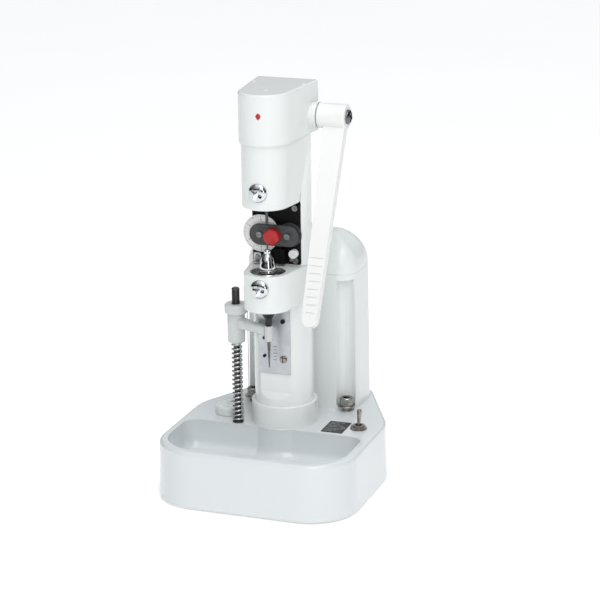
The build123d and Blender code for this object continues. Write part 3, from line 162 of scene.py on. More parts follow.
finishes = {
    "enamel": surface("enamel", (0.70, 0.73, 0.74), (0.71, 0.738, 0.747), patch=12,
                      rough=(0.09, 0.12), grain=300, bump=0.008, depth=0.03, coat=0.35),
    # Painted light: the pillar's enamel is a lighter copy of the base's, to offset the shade
    # that the nose's overhang casts on the lower pillar.
    "column_enamel_painted_light": surface("column_enamel_painted_light", (0.835, 0.855, 0.845), (0.845, 0.862, 0.852),
                             patch=12, rough=(0.18, 0.21), grain=300, bump=0.015, depth=0.03,
                             coat=0.5),
    "moulding": surface("moulding", (0.775, 0.805, 0.79), (0.783, 0.81, 0.795), patch=14,
                        rough=(0.22, 0.25), grain=500, bump=0.02, depth=0.03, coat=0.35),
    "housing_white": surface("housing_white", (0.782, 0.806, 0.801), (0.786, 0.809, 0.804),
                             patch=10, rough=(0.275, 0.283), grain=500, bump=0.012,
                             depth=0.02, coat=0.1),
    "lever_enamel": surface("lever_enamel", (0.825, 0.835, 0.815), (0.835, 0.84, 0.82),
                            patch=14, rough=(0.27, 0.31), grain=500, bump=0.02, depth=0.03,
                            coat=0.25),
    "stop_plastic": surface("stop_plastic", (0.60, 0.615, 0.605), (0.66, 0.67, 0.66),
                            patch=70, rough=(0.34, 0.46), grain=1500, bump=0.2),
    "knob_white": surface("knob_white", (0.76, 0.78, 0.78), (0.79, 0.81, 0.80), patch=60,
                          rough=(0.22, 0.32), grain=1300, bump=0.1),
    "dial_paint": surface("dial_paint", (0.78, 0.79, 0.76), (0.83, 0.83, 0.80), patch=160,
                          rough=(0.28, 0.4), grain=1800, bump=0.1),
    "chrome": surface("chrome", (0.62, 0.63, 0.65), (0.68, 0.69, 0.70), patch=120,
                      rough=(0.03, 0.08), grain=700, bump=0.03, metallic=1.0),
    # Painted shade: a darkened copy of the chrome, standing in for the dark reflections that
    # the lever's chrome end screw shows.
    "chrome_painted_shade": surface("chrome_painted_shade", (0.16, 0.16, 0.165), (0.22, 0.22, 0.225), patch=120,
                           rough=(0.03, 0.09), grain=700, bump=0.03, metallic=1.0),
    "turned_steel": surface("turned_steel", (0.40, 0.40, 0.41), (0.56, 0.56, 0.57), patch=90,
                            rough=(0.2, 0.36), grain=500, bump=0.25, stretch=(1, 1, 14),
                            metallic=1.0),
    "ground_steel": surface("ground_steel", (0.45, 0.45, 0.46), (0.60, 0.60, 0.60), patch=70,
                            rough=(0.22, 0.38), grain=380, bump=0.2, stretch=(1, 12, 1),
                            metallic=1.0),
    "spring_steel": surface("spring_steel", (0.50, 0.50, 0.51), (0.66, 0.66, 0.66), patch=140,
                            rough=(0.10, 0.22), grain=900, bump=0.08, metallic=1.0),
    "tool_steel": surface("tool_steel", (0.085, 0.08, 0.082), (0.16, 0.15, 0.15), patch=300,
                          rough=(0.2, 0.36), grain=1400, bump=0.15, stretch=(1, 1, 6),
                          metallic=1.0),
    "dull_steel": surface("dull_steel", (0.16, 0.16, 0.155), (0.27, 0.265, 0.255), patch=260,
                          rough=(0.26, 0.42), grain=1400, bump=0.2, metallic=1.0),
    "dark_rod": surface("dark_rod", (0.055, 0.057, 0.062), (0.10, 0.10, 0.11), patch=160,
                        rough=(0.28, 0.42), grain=900, bump=0.2, metallic=0.8),
    "black_oxide": surface("black_oxide", (0.022, 0.022, 0.024), (0.05, 0.05, 0.052),
                           patch=220, rough=(0.3, 0.48), grain=1500, bump=0.2, metallic=0.7),
    "stainless": surface("stainless", (0.30, 0.29, 0.272), (0.44, 0.425, 0.40), patch=160,
                         rough=(0.2, 0.34), grain=900, bump=0.2, metallic=1.0),
    "black_paint": surface("black_paint", (0.004, 0.004, 0.004), (0.007, 0.007, 0.007),
                           patch=90, rough=(0.55, 0.7), grain=1600, bump=0.3,
                           specular=0.12),
    "bridge_paint": surface("bridge_paint", (0.035, 0.040, 0.040), (0.060, 0.064, 0.064),
                            patch=200, rough=(0.42, 0.56), grain=2200, bump=0.5, depth=0.06),
    "red_plastic": surface("red_plastic", (0.44, 0.010, 0.014), (0.52, 0.016, 0.020),
                           patch=120, rough=(0.34, 0.46), grain=1600, bump=0.2),
    "silver_anodised": surface("silver_anodised", (0.47, 0.485, 0.51), (0.56, 0.57, 0.59),
                               patch=60, rough=(0.30, 0.42), grain=500, bump=0.12,
                               stretch=(1, 1, 16), metallic=0.85),
    "casting": surface("casting", (0.13, 0.135, 0.14), (0.20, 0.205, 0.21), patch=120,
                       rough=(0.45, 0.62), grain=900, bump=0.7, depth=0.12, metallic=0.6,
                       speck=0.5),
    "brass": surface("brass", (0.55, 0.40, 0.20), (0.66, 0.50, 0.27), patch=120,
                     rough=(0.22, 0.36), grain=900, bump=0.15, metallic=1.0),
    "worn_nickel": surface("worn_nickel", (0.27, 0.235, 0.20), (0.42, 0.385, 0.345), patch=180,
                           rough=(0.24, 0.4), grain=1100, bump=0.25, metallic=1.0, speck=0.3),
    "rubber": surface("rubber", (0.014, 0.014, 0.014), (0.026, 0.026, 0.025), patch=200,
                      rough=(0.62, 0.78), grain=2400, bump=0.6, depth=0.08),
    "black_plastic": surface("black_plastic", (0.012, 0.012, 0.013), (0.022, 0.022, 0.023),
                             patch=160, rough=(0.38, 0.52), grain=2000, bump=0.35),
    "motor_paint": surface("motor_paint", (0.03, 0.032, 0.036), (0.05, 0.052, 0.056),
                           patch=80, rough=(0.4, 0.55), grain=1200, bump=0.5),
    "label_black": surface("label_black", (0.010, 0.010, 0.011), (0.018, 0.018, 0.019),
                           patch=160, rough=(0.3, 0.4), grain=1800, bump=0.1),
    "ink_black": surface("ink_black", (0.010, 0.010, 0.012), (0.020, 0.020, 0.022),
                         patch=400, rough=(0.45, 0.6), grain=2500, bump=0.1),
    "ink_red": surface("ink_red", (0.40, 0.015, 0.02), (0.50, 0.02, 0.03), patch=400,
                       rough=(0.45, 0.6), grain=2500, bump=0.1),
    "ink_pale": surface("ink_pale", (0.34, 0.35, 0.35), (0.44, 0.44, 0.44), patch=400,
                        rough=(0.4, 0.55), grain=2500, bump=0.1),
}

node_finish = {
    "enamel": ["base_tray"],
    # Pillar and collar take the lightened enamel, with painted light against the overhang's
    # shade.
    "column_enamel_painted_light": ["pillar", "pillar_collar"],
    "moulding": ["nose_housing", "front_cover", "head_cap", "belt_duct"],
    "housing_white": ["motor_housing", "housing_lid"],
    "lever_enamel": ["pull_lever"],
    "stop_plastic": ["stop_arm", "stop_nut"],
    "knob_white": ["speed_knob"],
    "dial_paint": ["gauge_dial"],
    "chrome": ["cover_screws", "drill_chuck"],
    # The lever's end screw takes the darkened chrome, its dark reflections painted in.
    "chrome_painted_shade": ["lever_screw"],
    "turned_steel": ["spindle_shaft", "spindle_bearings", "quill", "motor_shaft",
                     "lever_bushes", "lever_shaft", "idler_pin"],
    "ground_steel": ["base_plate", "base_plate_screws", "sector_gear", "idler_gear"],
    "dull_steel": ["throat_screws"],
    "spring_steel": ["stop_spring", "return_spring"],
    "tool_steel": ["drill_bit", "reamer"],
    "dark_rod": ["stop_post", "presser_pin"],
    "black_oxide": ["pillar_bolts", "socket_screws", "scale_screws", "reamer_collet"],
    "stainless": ["housing_screws"],
    "black_paint": ["throat_plate", "lens_stop"],
    "bridge_paint": ["gauge_bridge", "gauge_wheel"],
    "red_plastic": ["gauge_knob"],
    "silver_anodised": ["scale_plate", "spindle_pulley", "motor_pulley"],
    "casting": ["spindle_frame", "quill_bracket", "head_frame"],
    "brass": ["quill_bush"],
    "worn_nickel": ["switch_nut", "toggle_lever", "power_switch"],
    "rubber": ["rubber_feet", "drive_belt"],
    "black_plastic": ["speed_control", "power_inlet"],
    "motor_paint": ["motor_body"],
}
for finish, node_names in node_finish.items():
    for node_name in node_names:
        for material_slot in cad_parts[node_name].material_slots:
            material_slot.material = finishes[finish]


# ---- mesh helpers -------------------------------------------------------------------
def finish_piece(name, mesh, finish, body="root", stands_for=(), sharp=35):
    """Turns a mesh into a piece of the object that rides on a body."""
    piece = bpy.data.objects.new(name, mesh)
    bpy.context.scene.collection.objects.link(piece)
    mesh.materials.clear()
    mesh.materials.append(finishes[finish])
    mesh.shade_smooth()
    mesh.set_sharp_from_angle(angle=math.radians(sharp))
    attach(piece, body)
    if stands_for:
        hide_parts(*stands_for)
    return piece


def skin_into(mesh, rings, closed=False):
    """Adds a skin over rings of equal length, with flat ends unless it is closed."""
    rows = [[mesh.verts.new(point) for point in ring] for ring in rings]
    count = len(rows[0])
    pairs = list(zip(rows, rows[1:]))
    if closed:
        pairs.append((rows[-1], rows[0]))
    for lower, upper in pairs:
        for i in range(count):
            j = (i + 1) % count
            mesh.faces.new((lower[i], lower[j], upper[j], upper[i]))
    if not closed:
        mesh.faces.new(reversed(rows[0]))
        mesh.faces.new(rows[-1])


def mesh_from(name, *skins, closed=False):
    """One mesh of several skins, each a list of rings."""
    made = bmesh.new()
    for rings in skins:
        skin_into(made, rings, closed)
    bmesh.ops.recalc_face_normals(made, faces=made.faces)
    mesh = bpy.data.meshes.new(name)
    made.to_mesh(mesh)
    made.free()
    return mesh


def turned(base, axis, profile, sides=64, shape=None):
    """Rings of a turned form: profile gives (radius, height along axis) in mm.

    shape(angle, height) scales the radius, for knurls, flats and flutes.
    """
    axis = Vector(axis).normalized()
    across = axis.orthogonal().normalized() if abs(axis.z) < 0.9 else RIGHT.copy()
    third = axis.cross(across)
    rings = []
    for radius, height in profile:
        ring = []
        for side in range(sides):
            angle = TURN * side / sides
            factor = shape(angle, height) if shape else 1
            out = (across * math.cos(angle) + third * math.sin(angle)) * radius * factor
            ring.append(Vector(base) + (out + axis * height) * MM)
        rings.append(ring)
    return rings


def tube(points, radius, sides=12):
    """Rings of a round tube along points in metres; radius in mm."""
    rings = []
    side_way = None
    for i, point in enumerate(points):
        ahead = points[min(i + 1, len(points) - 1)] - points[max(i - 1, 0)]
        ahead.normalize()
        if side_way is None:
            side_way = ahead.orthogonal().normalized()
        side_way = (side_way - ahead * side_way.dot(ahead)).normalized()
        other = ahead.cross(side_way)
        rings.append([
            point + (side_way * math.cos(TURN * s / sides)
                     + other * math.sin(TURN * s / sides)) * radius * MM
            for s in range(sides)])
    return rings


def bar(centre, size, facing=FRONT, upward=UP, corner=0.0):
    """Rings of a small plate: size is (width, height, thickness) in mm.

    It stands out from centre along facing; corner rounds its outline.
    """
    facing, upward = Vector(facing).normalized(), Vector(upward).normalized()
    across = upward.cross(facing)
    width, height, thick = size
    steps = 6 if corner else 1
    outline = []
    for quarter in range(4):
        sign_x = (1, -1, -1, 1)[quarter]
        sign_y = (1, 1, -1, -1)[quarter]
        for step in range(steps):
            angle = TURN / 4 * (quarter + (step / (steps - 1) if corner else 0.5))
            outline.append((sign_x * (width / 2 - corner) + corner * math.cos(angle),
                            sign_y * (height / 2 - corner) + corner * math.sin(angle)))
    rings = []
    for level in (0, thick):
        rings.append([Vector(centre) + (across * x + upward * y + facing * level) * MM
                      for x, y in outline])
    return rings


def cut(mesh, cutter):
    """The first mesh with the second taken away."""
    target = bpy.data.objects.new("cut_target", mesh)
    tool = bpy.data.objects.new("cut_tool", cutter)
    for thing in (target, tool):
        bpy.context.scene.collection.objects.link(thing)
    modifier = target.modifiers.new("cut", "BOOLEAN")
    modifier.operation = "DIFFERENCE"
    modifier.solver = "EXACT"
    modifier.object = tool
    bpy.context.view_layer.update()
    graph = bpy.context.evaluated_depsgraph_get()
    result = bpy.data.meshes.new_from_object(target.evaluated_get(graph))
    for thing in (target, tool):
        bpy.data.objects.remove(thing)
    return result


def lettering(text, centre, height, facing=FRONT, upward=UP, spin=0.0):
    """A mesh of thin figures, height in mm, standing 0.03 mm proud of centre."""
    curve = bpy.data.curves.new("figures", "FONT")
    curve.body = text
    curve.size = height * MM * 1.35
    curve.extrude = 0.02 * MM
    curve.resolution_u = 3
    curve.align_x = "CENTER"
    curve.align_y = "CENTER"
    holder = bpy.data.objects.new("figures", curve)
    bpy.context.scene.collection.objects.link(holder)
    bpy.context.view_layer.update()
    graph = bpy.context.evaluated_depsgraph_get()
    mesh = bpy.data.meshes.new_from_object(holder.evaluated_get(graph))
    bpy.data.objects.remove(holder)
    facing, upward = Vector(facing), Vector(upward)
    axes = Matrix((upward.cross(facing), upward, facing)).transposed().to_4x4()
    mesh.transform(Matrix.Translation(Vector(centre) + facing * 0.02 * MM) @ axes
                   @ Matrix.Rotation(spin, 4, "Z"))
    return mesh


def joined(name, meshes):
    """One mesh of several."""
    made = bmesh.new()
    for mesh in meshes:
        made.from_mesh(mesh)
    result = bpy.data.meshes.new(name)
    made.to_mesh(result)
    made.free()
    return result


# ---- screws -------------------------------------------------------------------------
def dome_profile(radius, height):
    """Half-section of a domed head with a short straight rim, starting behind it."""
    sink, steps = 0.6, 9
    rim = height * 0.32
    profile = [(radius * 0.9, -sink), (radius, -sink + 0.2), (radius, rim)]
    for step in range(1, steps):
        turn = math.pi / 2 * step / steps
        profile.append((radius * math.cos(turn) ** 0.75,
                        rim + (height - rim) * math.sin(turn)))
    profile.append((radius * 0.06, height))
    return profile


def cross_recess(base, axis, radius, height, twist):
    """Tapered cross-shaped cutter for a screw head; twist is in radians."""
    axis = Vector(axis).normalized()
    across = axis.orthogonal().normalized() if abs(axis.z) < 0.9 else RIGHT.copy()
    across = Matrix.Rotation(twist, 3, axis) @ across
    third = axis.cross(across)
    rings = []
    # Height, then the arms' reach and half width as shares of the head's radius
    for level, reach, half in ((height + 0.5, 0.74, 0.19), (height * 0.5, 0.52, 0.15),
                               (height * 0.05, 0.18, 0.1)):
        ring = []
        for quarter in range(4):
            for x, y in ((reach, -half), (reach, half), (half, half)):
                angle = TURN / 4 * quarter
                turned_x = x * math.cos(angle) - y * math.sin(angle)
                turned_y = x * math.sin(angle) + y * math.cos(angle)
                outward = (across * turned_x + third * turned_y) * radius
                ring.append(Vector(base) + (outward + axis * level) * MM)
        rings.append(ring)
    return mesh_from("recess", rings)


def cross_head_screw(base, axis, radius, height, twist):
    """Domed screw head with a cross recess; sizes in mm."""
    head = mesh_from("head", turned(base, axis, dome_profile(radius, height), sides=72))
    return cut(head, cross_recess(base, axis, radius, height, twist))


def small_screw(base, axis, radius, height, slot_angle):
    """Slotted pan head; sizes in mm."""
    head = mesh_from("pan", turned(base, axis, [
        (radius * 0.96, -0.2), (radius, 0), (radius, height * 0.55),
        (radius * 0.9, height * 0.85), (radius * 0.6, height), (radius * 0.05, height)],
        sides=40))
    axis = Vector(axis)
    upward = Matrix.Rotation(slot_angle, 3, axis) @ axis.orthogonal().normalized()
    groove = mesh_from("groove", bar(Vector(base) + axis * height * 0.5 * MM,
                                     (radius * 0.36, radius * 2.4, height), axis, upward))
    return cut(head, groove)


def cover_screws():
    """The nose and cover screws and the lever's end screw."""
    head_height, end_height = 5.2, 3.6
    low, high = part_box("cover_screws")
    radius = (high.x - low.x) / 2
    seat_y = low.y + head_height * MM
    heads = []
    for height, twist in ((low.z + radius, 0.62), (high.z - radius, 0.18)):
        heads.append(cross_head_screw((0, seat_y, height), FRONT, radius / MM, head_height,
                                      twist))
    finish_piece("cover_screw_heads", joined("cover_screw_heads", heads), "chrome",
                 stands_for=["cover_screws"])
    low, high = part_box("lever_screw")
    radius = (high.z - low.z) / 2
    seat = Vector((high.x - end_height * MM, (low.y + high.y) / 2, (low.z + high.z) / 2))
    # Painted shade: the end screw is chrome, darkened to paint in its dark reflections.
    finish_piece("lever_screw_head",
                 cross_head_screw(seat, RIGHT, radius / MM, end_height, 0.3),
                 "chrome_painted_shade", body="lever", stands_for=["lever_screw"])


def housing_cap_screws():
    """Knurled socket cap screws on their washers at the motor housing's feet."""
    knurls, knurl_depth, sides = 36, 0.05, 216
    head_top, washer_radius = 9.6, 9

    def knurl(angle, height):
        cell = 0.5 - 0.5 * math.cos(knurls * angle)
        return 1 - (knurl_depth * cell if 2.6 < height < 8.2 else 0)

    def hexagon(angle, height):
        sector = (angle % (TURN / 6)) - TURN / 12
        return 1 if height > 9.3 else math.cos(TURN / 12) / math.cos(sector)

    low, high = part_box("housing_screws")
    meshes = []
    for x in (low.x + washer_radius * MM, high.x - washer_radius * MM):
        seat = (x, (low.y + high.y) / 2, high.z - head_top * MM)
        meshes.append(mesh_from("washer", turned(seat, UP, [
            (4.4, 0), (8.8, 0), (washer_radius, 0.2), (washer_radius, 1.35), (8.8, 1.55),
            (6.6, 1.6)], sides=64)))
        head = turned(seat, UP, [
            (3.8, -8), (3.8, 1.6), (6.3, 1.6), (6.5, 1.8), (6.5, 2.7), (6.5, 8.1), (6.5, 8.8),
            (6.2, 9.3), (5.6, head_top), (4.1, head_top)], sides=sides, shape=knurl)
        socket = turned(seat, UP, [(4.0, 9.25), (3.9, 4.6), (0.2, 4.2)], sides=sides,
                        shape=hexagon)
        meshes.append(mesh_from("head", head + socket))
    finish_piece("housing_cap_screws", joined("housing_cap_screws", meshes), "stainless",
                 stands_for=["housing_screws"])


cover_screws()
housing_cap_screws()


# ---- reaming stop: threaded post, springs, nut, arm ---------------------------------
def thread_rings(base, radius, depth, bottom, top, pitch, sides=36, per_turn=8):
    """Rings of a threaded rod between two heights in mm; radius is the crest's."""
    rings = []
    rows = int((top - bottom) / pitch * per_turn)
    for row in range(rows + 1):
        height = bottom + (top - bottom) * row / rows
        fade = min(1, (height - bottom) / pitch, (top - height) / pitch)
        ring = []
        for side in range(sides):
            angle = TURN * side / sides
            phase = (height / pitch - side / sides) % 1
            # A triangular wave, cut off so that crests and roots have flats
            groove = max(0, min(1, 1.5 * (1 - abs(2 * phase - 1)) - 0.25))
            local = radius - depth * groove * max(fade, 0)
            ring.append(Vector((base.x + local * MM * math.cos(angle),
                                base.y + local * MM * math.sin(angle), height * MM)))
        rings.append(ring)
    return rings


def stop_rod():
    """Post with a plain shank inside the spring and a thread above it."""
    shank_radius, flange_radius = 3.2, 5.5
    thread_radius, thread_depth, pitch = 3.98, 0.55, 1.25
    base = standing("stop_post")[0]
    base.z = 0
    arm_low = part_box("stop_arm")[0].z / MM
    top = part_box("stop_post")[1].z / MM
    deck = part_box("base_tray")[1].z / MM
    shank = turned(base, UP, [
        (2.9, deck - 12), (shank_radius, deck - 11), (shank_radius, deck), (5.2, deck),
        (flange_radius, deck + 0.3), (flange_radius, deck + 1.2), (5.2, deck + 1.5),
        (shank_radius, deck + 1.5), (shank_radius, arm_low - 1)], sides=36)
    thread = thread_rings(base, thread_radius, thread_depth, arm_low - 0.4, top - 1, pitch)
    tip = turned(base, UP, [(3.4, top - 0.6), (2.9, top - 0.15), (2.4, top)], sides=36)
    finish_piece("stop_rod", mesh_from("stop_rod", shank + thread + tip), "dark_rod",
                 stands_for=["stop_post"], sharp=50)


def coil_path(base, radius, bottom, top, turns, closed_turns=0.9, per_turn=30):
    """Centre line of a compression spring with closed ends; heights in mm.

    end_rise is the share of the height that each nearly flat end coil climbs.
    """
    end_rise = 0.022
    closed = closed_turns / turns
    points = []
    count = int(turns * per_turn)
    for i in range(count + 1):
        share = i / count
        open_part = min(max((share - closed) / (1 - 2 * closed), 0), 1)
        end_part = (min(share, closed) + max(share - (1 - closed), 0)) / closed
        height = bottom + (top - bottom) * (end_rise * end_part + open_part * (1 - end_rise))
        angle = TURN * turns * share
        points.append(Vector((base.x + radius * MM * math.cos(angle),
                              base.y + radius * MM * math.sin(angle), min(height, top) * MM)))
    return points


def coil_spring(name, node, wire, turns):
    """A coil spring in the place of a CAD spring; wire is a radius in mm."""
    low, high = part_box(node)
    base, radius = standing(node)[:2]
    path = coil_path(base, radius - wire, low.z / MM + wire, high.z / MM - wire, turns)
    piece = finish_piece(name, mesh_from(name, tube(path, wire)), "spring_steel",
                         stands_for=[node], sharp=60)
    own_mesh(piece)


def knurled_nut():
    """Fine-knurled hand nut above the stop arm."""
    knurls, knurl_depth, plain_rim = 54, 0.018, 1.6
    base, _radius, height = standing("stop_nut")

    def knurl(angle, level):
        grooved = plain_rim < level < height - plain_rim
        return 1 - (knurl_depth * (0.5 - 0.5 * math.cos(knurls * angle)) if grooved else 0)

    rings = turned(base, UP, [
        (4.1, 0), (9.6, 0), (10.2, 0.25), (10.9, 0.9), (11.15, 1.5), (11.2, 1.9),
        (11.2, height - 1.9), (11.15, height - 1.5), (10.8, height - 0.7),
        (10.1, height - 0.2), (9.2, height), (5.2, height), (4.7, height - 0.2),
        (4.2, height - 0.8)], sides=324, shape=knurl)
    finish_piece("stop_hand_nut", mesh_from("stop_hand_nut", rings, closed=True),
                 "stop_plastic", body="nut", stands_for=["stop_nut"], sharp=50)


def stop_clamp_arm():
    """Arm: hub on the post, web, and the sleeve round the reamer, with soft edges."""
    sleeve_z, web_z, stations, corners = 153, 163, 12, 24
    low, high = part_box("stop_arm")
    post = middle("stop_post")
    drill = middle("spindle_shaft")
    hub = Vector((post.x, post.y, low.z))
    sleeve = Vector((drill.x, drill.y, sleeve_z * MM))
    tall = (high.z - low.z) / MM
    meshes = [
        mesh_from("hub", turned(hub, UP, [
            (4.15, 0), (7.6, 0), (8.3, 0.35), (8.6, 1.0), (8.6, tall - 1.0), (8.3, tall - 0.3),
            (7.6, tall), (4.15, tall)], sides=72), closed=True),
        mesh_from("sleeve", turned(sleeve, UP, [
            (2.75, 0), (3.6, 0), (4.1, 0.5), (4.1, 14.9), (3.6, 15.4), (2.75, 15.4)],
            sides=48), closed=True),
    ]
    along = Vector((sleeve.x - hub.x, sleeve.y - hub.y, 0))
    reach = along.length / MM
    along.normalize()
    side = UP.cross(along)
    rings = []
    for step in range(stations + 1):
        distance = 7.8 + (reach - 11.3) * step / stations
        share = step / stations
        half_width = 5.4 - 2.1 * share + 0.9 * (1 - share) ** 4
        half_height = 4.5 + 0.9 * (1 - share) ** 5
        ring = []
        for corner in range(corners):
            angle = TURN * corner / corners
            ring.append(Vector((hub.x, hub.y, web_z * MM)) + (
                along * distance + side * half_width * squared(math.cos(angle), 0.45)
                + UP * half_height * squared(math.sin(angle), 0.45)) * MM)
        rings.append(ring)
    meshes.append(mesh_from("web", rings))
    finish_piece("stop_swing_arm", joined("stop_swing_arm", meshes), "stop_plastic",
                 body="arm", stands_for=["stop_arm"], sharp=40)


stop_rod()
coil_spring("stop_coil_spring", "stop_spring", 1.0, 19)
coil_spring("quill_coil_spring", "return_spring", 0.8, 6)
knurled_nut()
stop_clamp_arm()


# ---- cutting tools ------------------------------------------------------------------
def twist_drill():
    """Drill with two helical flutes above a plain shank."""
    flute_depth, shank, helix, steps = 0.42, 4, 1.5, 60
    base, radius, tall = standing("drill_bit")

    def fluted(angle, height):
        depth = flute_depth if shank < height < tall - 0.2 else 0.0
        return 1 - depth * max(0, math.cos(2 * (angle - height * helix))) ** 1.5

    profile = [(radius, tall * step / steps) for step in range(steps - 3)]
    profile += [(radius * 0.7, tall - 0.35), (radius * 0.05, tall)]
    rings = turned(base, UP, profile, sides=40, shape=fluted)
    finish_piece("twist_drill", mesh_from("twist_drill", rings), "tool_steel",
                 body="spindle", stands_for=["drill_bit"], sharp=55)


def fluted_reamer():
    """Tapered reamer with six straight flutes and a plain shank."""
    neck, flutes, flute_depth = 27, 6, 0.34
    tip_radius, tip_height, widening, steps = 0.5, 0.7, 1.25, 20
    base, _radius, tall = standing("reamer")

    def fluted(angle, height):
        if height > neck or height < 0.6:
            return 1
        return 1 - flute_depth * (0.5 + 0.5 * math.cos(flutes * angle)) ** 0.7

    profile = [(0.15, 0), (tip_radius, tip_height)]
    for step in range(1, steps + 1):
        profile.append((tip_radius + widening * step / steps,
                        tip_height + (neck - 0.9) * step / steps))
    profile += [(1.75, neck + 0.2), (1.98, neck + 3.4), (1.98, tall)]
    rings = turned(base, UP, profile, sides=48, shape=fluted)
    finish_piece("fluted_reamer", mesh_from("fluted_reamer", rings), "tool_steel",
                 body="spindle", stands_for=["reamer"], sharp=40)


def chuck_shell():
    """Polished bell of the drill chuck with its collar and ball-shaped nose."""
    profile = [(5.1, 0), (7.7, 0), (8, 0.3), (8, 2.2), (7.85, 2.5), (7.85, 2.9), (8, 3.2),
               (8, 4.8), (7.7, 6.8), (7.15, 8.8), (6.75, 10.8), (6.35, 12.8), (5.6, 15.0),
               (4.7, 16.7), (3.7, 18.0), (3.05, 18.8), (3.0, 19.4), (3.15, 20.2), (3.15, 21.2),
               (2.85, 22.2), (2.2, 22.9), (1.3, 23.15), (0.85, 23.2), (0.85, 12), (5.1, 8)]
    rings = turned(standing("drill_chuck")[0], UP, profile, sides=72)
    finish_piece("chuck_shell", mesh_from("chuck_shell", rings, closed=True), "chrome",
                 body="spindle", stands_for=["drill_chuck"], sharp=38)


twist_drill()
fluted_reamer()
chuck_shell()


# ---- throat and scale plate: dial marks, lens supports, depth lines -----------------
def dial_graduations():
    """Ticks and figures 0 to 5 on the dial; the long ticks between figures are red."""
    ticks = 60
    low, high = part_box("gauge_dial")
    radius = (high.z - low.z) / 2 / MM
    centre = Vector(((low.x + high.x) / 2, 0, (low.z + high.z) / 2))
    face_y = high.y - 1.4 * MM
    black, red, figures = [], [], []
    for tick in range(ticks):
        angle = TURN * tick / ticks
        outward = Vector((math.sin(angle), 0, math.cos(angle)))
        long_tick = tick % 5 == 0
        length = 2.6 if long_tick else 1.5
        spot = centre + outward * (radius - 0.7 - length / 2) * MM
        spot.y = face_y
        mark = bar(spot, (0.34 if long_tick else 0.22, length, 0.05), FRONT, outward)
        (red if tick % 10 == 5 else black).append(mark)
        if tick % 10 == 0:
            spot = centre + outward * (radius - 5.1) * MM
            spot.y = face_y
            figures.append(lettering(str(tick // 10), spot, 2.4, FRONT, UP, -angle))
    finish_piece("dial_ticks", joined("dial_ticks", [mesh_from("ticks", *black)] + figures),
                 "ink_black", body="dial")
    finish_piece("dial_red_ticks", mesh_from("dial_red_ticks", *red), "ink_red",
                 body="dial")


def throat_details():
    """Steel dust ring, white lens pad, its screws and the bent lens bracket."""
    plate_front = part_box("throat_plate")[0].y
    nose_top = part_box("nose_housing")[1].z
    drill = middle("spindle_shaft")
    ring_base = Vector((drill.x, drill.y, nose_top - 3.6 * MM))
    ring = turned(ring_base, UP, [
        (8.9, 0), (16.8, 0), (17.0, 0.3), (17.0, 2.6), (16.6, 3.0), (15.9, 3.0), (15.6, 2.6),
        (15.5, 1.2), (14.6, 0.8), (10.4, 1.0), (9.6, 1.9), (8.9, 1.9)], sides=96)
    finish_piece("dust_ring", mesh_from("dust_ring", ring, closed=True), "ground_steel")
    pad_spot = Vector((18.4 * MM, plate_front, 236.2 * MM))
    finish_piece("lens_pad", mesh_from("lens_pad", turned(pad_spot, FRONT, [
        (3.8, 0), (4.4, 0.4), (4.4, 5.4), (4.0, 6.0), (1.6, 6.0), (1.5, 5.4), (0.3, 5.4)],
        sides=48)), "knob_white")
    trim = []
    for x, z, turn in ((15.0, 229.6, 0.4), (20.4, 229.4, 1.2)):
        trim.append(small_screw((x * MM, plate_front, z * MM), FRONT, 2.1, 1.5, turn))
    finish_piece("pad_screws", joined("pad_screws", trim), "worn_nickel")
    # Each plate's x, its distance in front of the throat plate, its z, and its form
    plates = (("tab", -19.8, 0, 229.4, (7.4, 8.8, 1.0), FRONT, UP, 1.4),
              ("shelf", -18.6, 3.4, 224.6, (9.0, 6.8, 1.0), UP, FRONT, 0.9),
              ("ramp", -14.2, 5.2, 226.4, (3.2, 9.0, 0.9), (-0.72, 0, 0.69),
               (0.69, 0, 0.72), 0.8))
    bracket = []
    for name, x, out, z, *form in plates:
        spot = (x * MM, plate_front - out * MM, z * MM)
        bracket.append(mesh_from(name, bar(spot, *form)))
    finish_piece("lens_bracket", joined("lens_bracket", bracket), "silver_anodised")
    finish_piece("bracket_screw", small_screw((-19.8 * MM, plate_front - 1.0 * MM, 230.6 * MM),
                                              FRONT, 1.9, 1.2, 0.8), "stainless")
    plug_spot = Vector((29.0 * MM, 9.0 * MM, 258.4 * MM))
    finish_piece("side_plug", mesh_from("side_plug", turned(plug_spot, RIGHT, [
        (1.9, -1.2), (1.9, 0.7), (1.5, 1.2), (0.2, 1.3)], sides=32)), "moulding")


def scale_marks():
    """Depth lines and the clamp screw on the silver plate."""
    top_line, spacing = 142.6, 3.4
    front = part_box("scale_plate")[0].y
    lines = []
    for row in range(5):
        height = (top_line - spacing * row) * MM
        lines.append(bar((0.6 * MM, front, height), (3.0 if row % 2 else 4.0, 0.5, 0.05)))
    finish_piece("scale_lines", mesh_from("scale_lines", *lines), "ink_black")
    spot = Vector((9.1 * MM, front, 130.2 * MM))
    finish_piece("clamp_screw", small_screw(spot, FRONT, 3.6, 2.6, 0.7), "worn_nickel")


dial_graduations()
throat_details()
scale_marks()


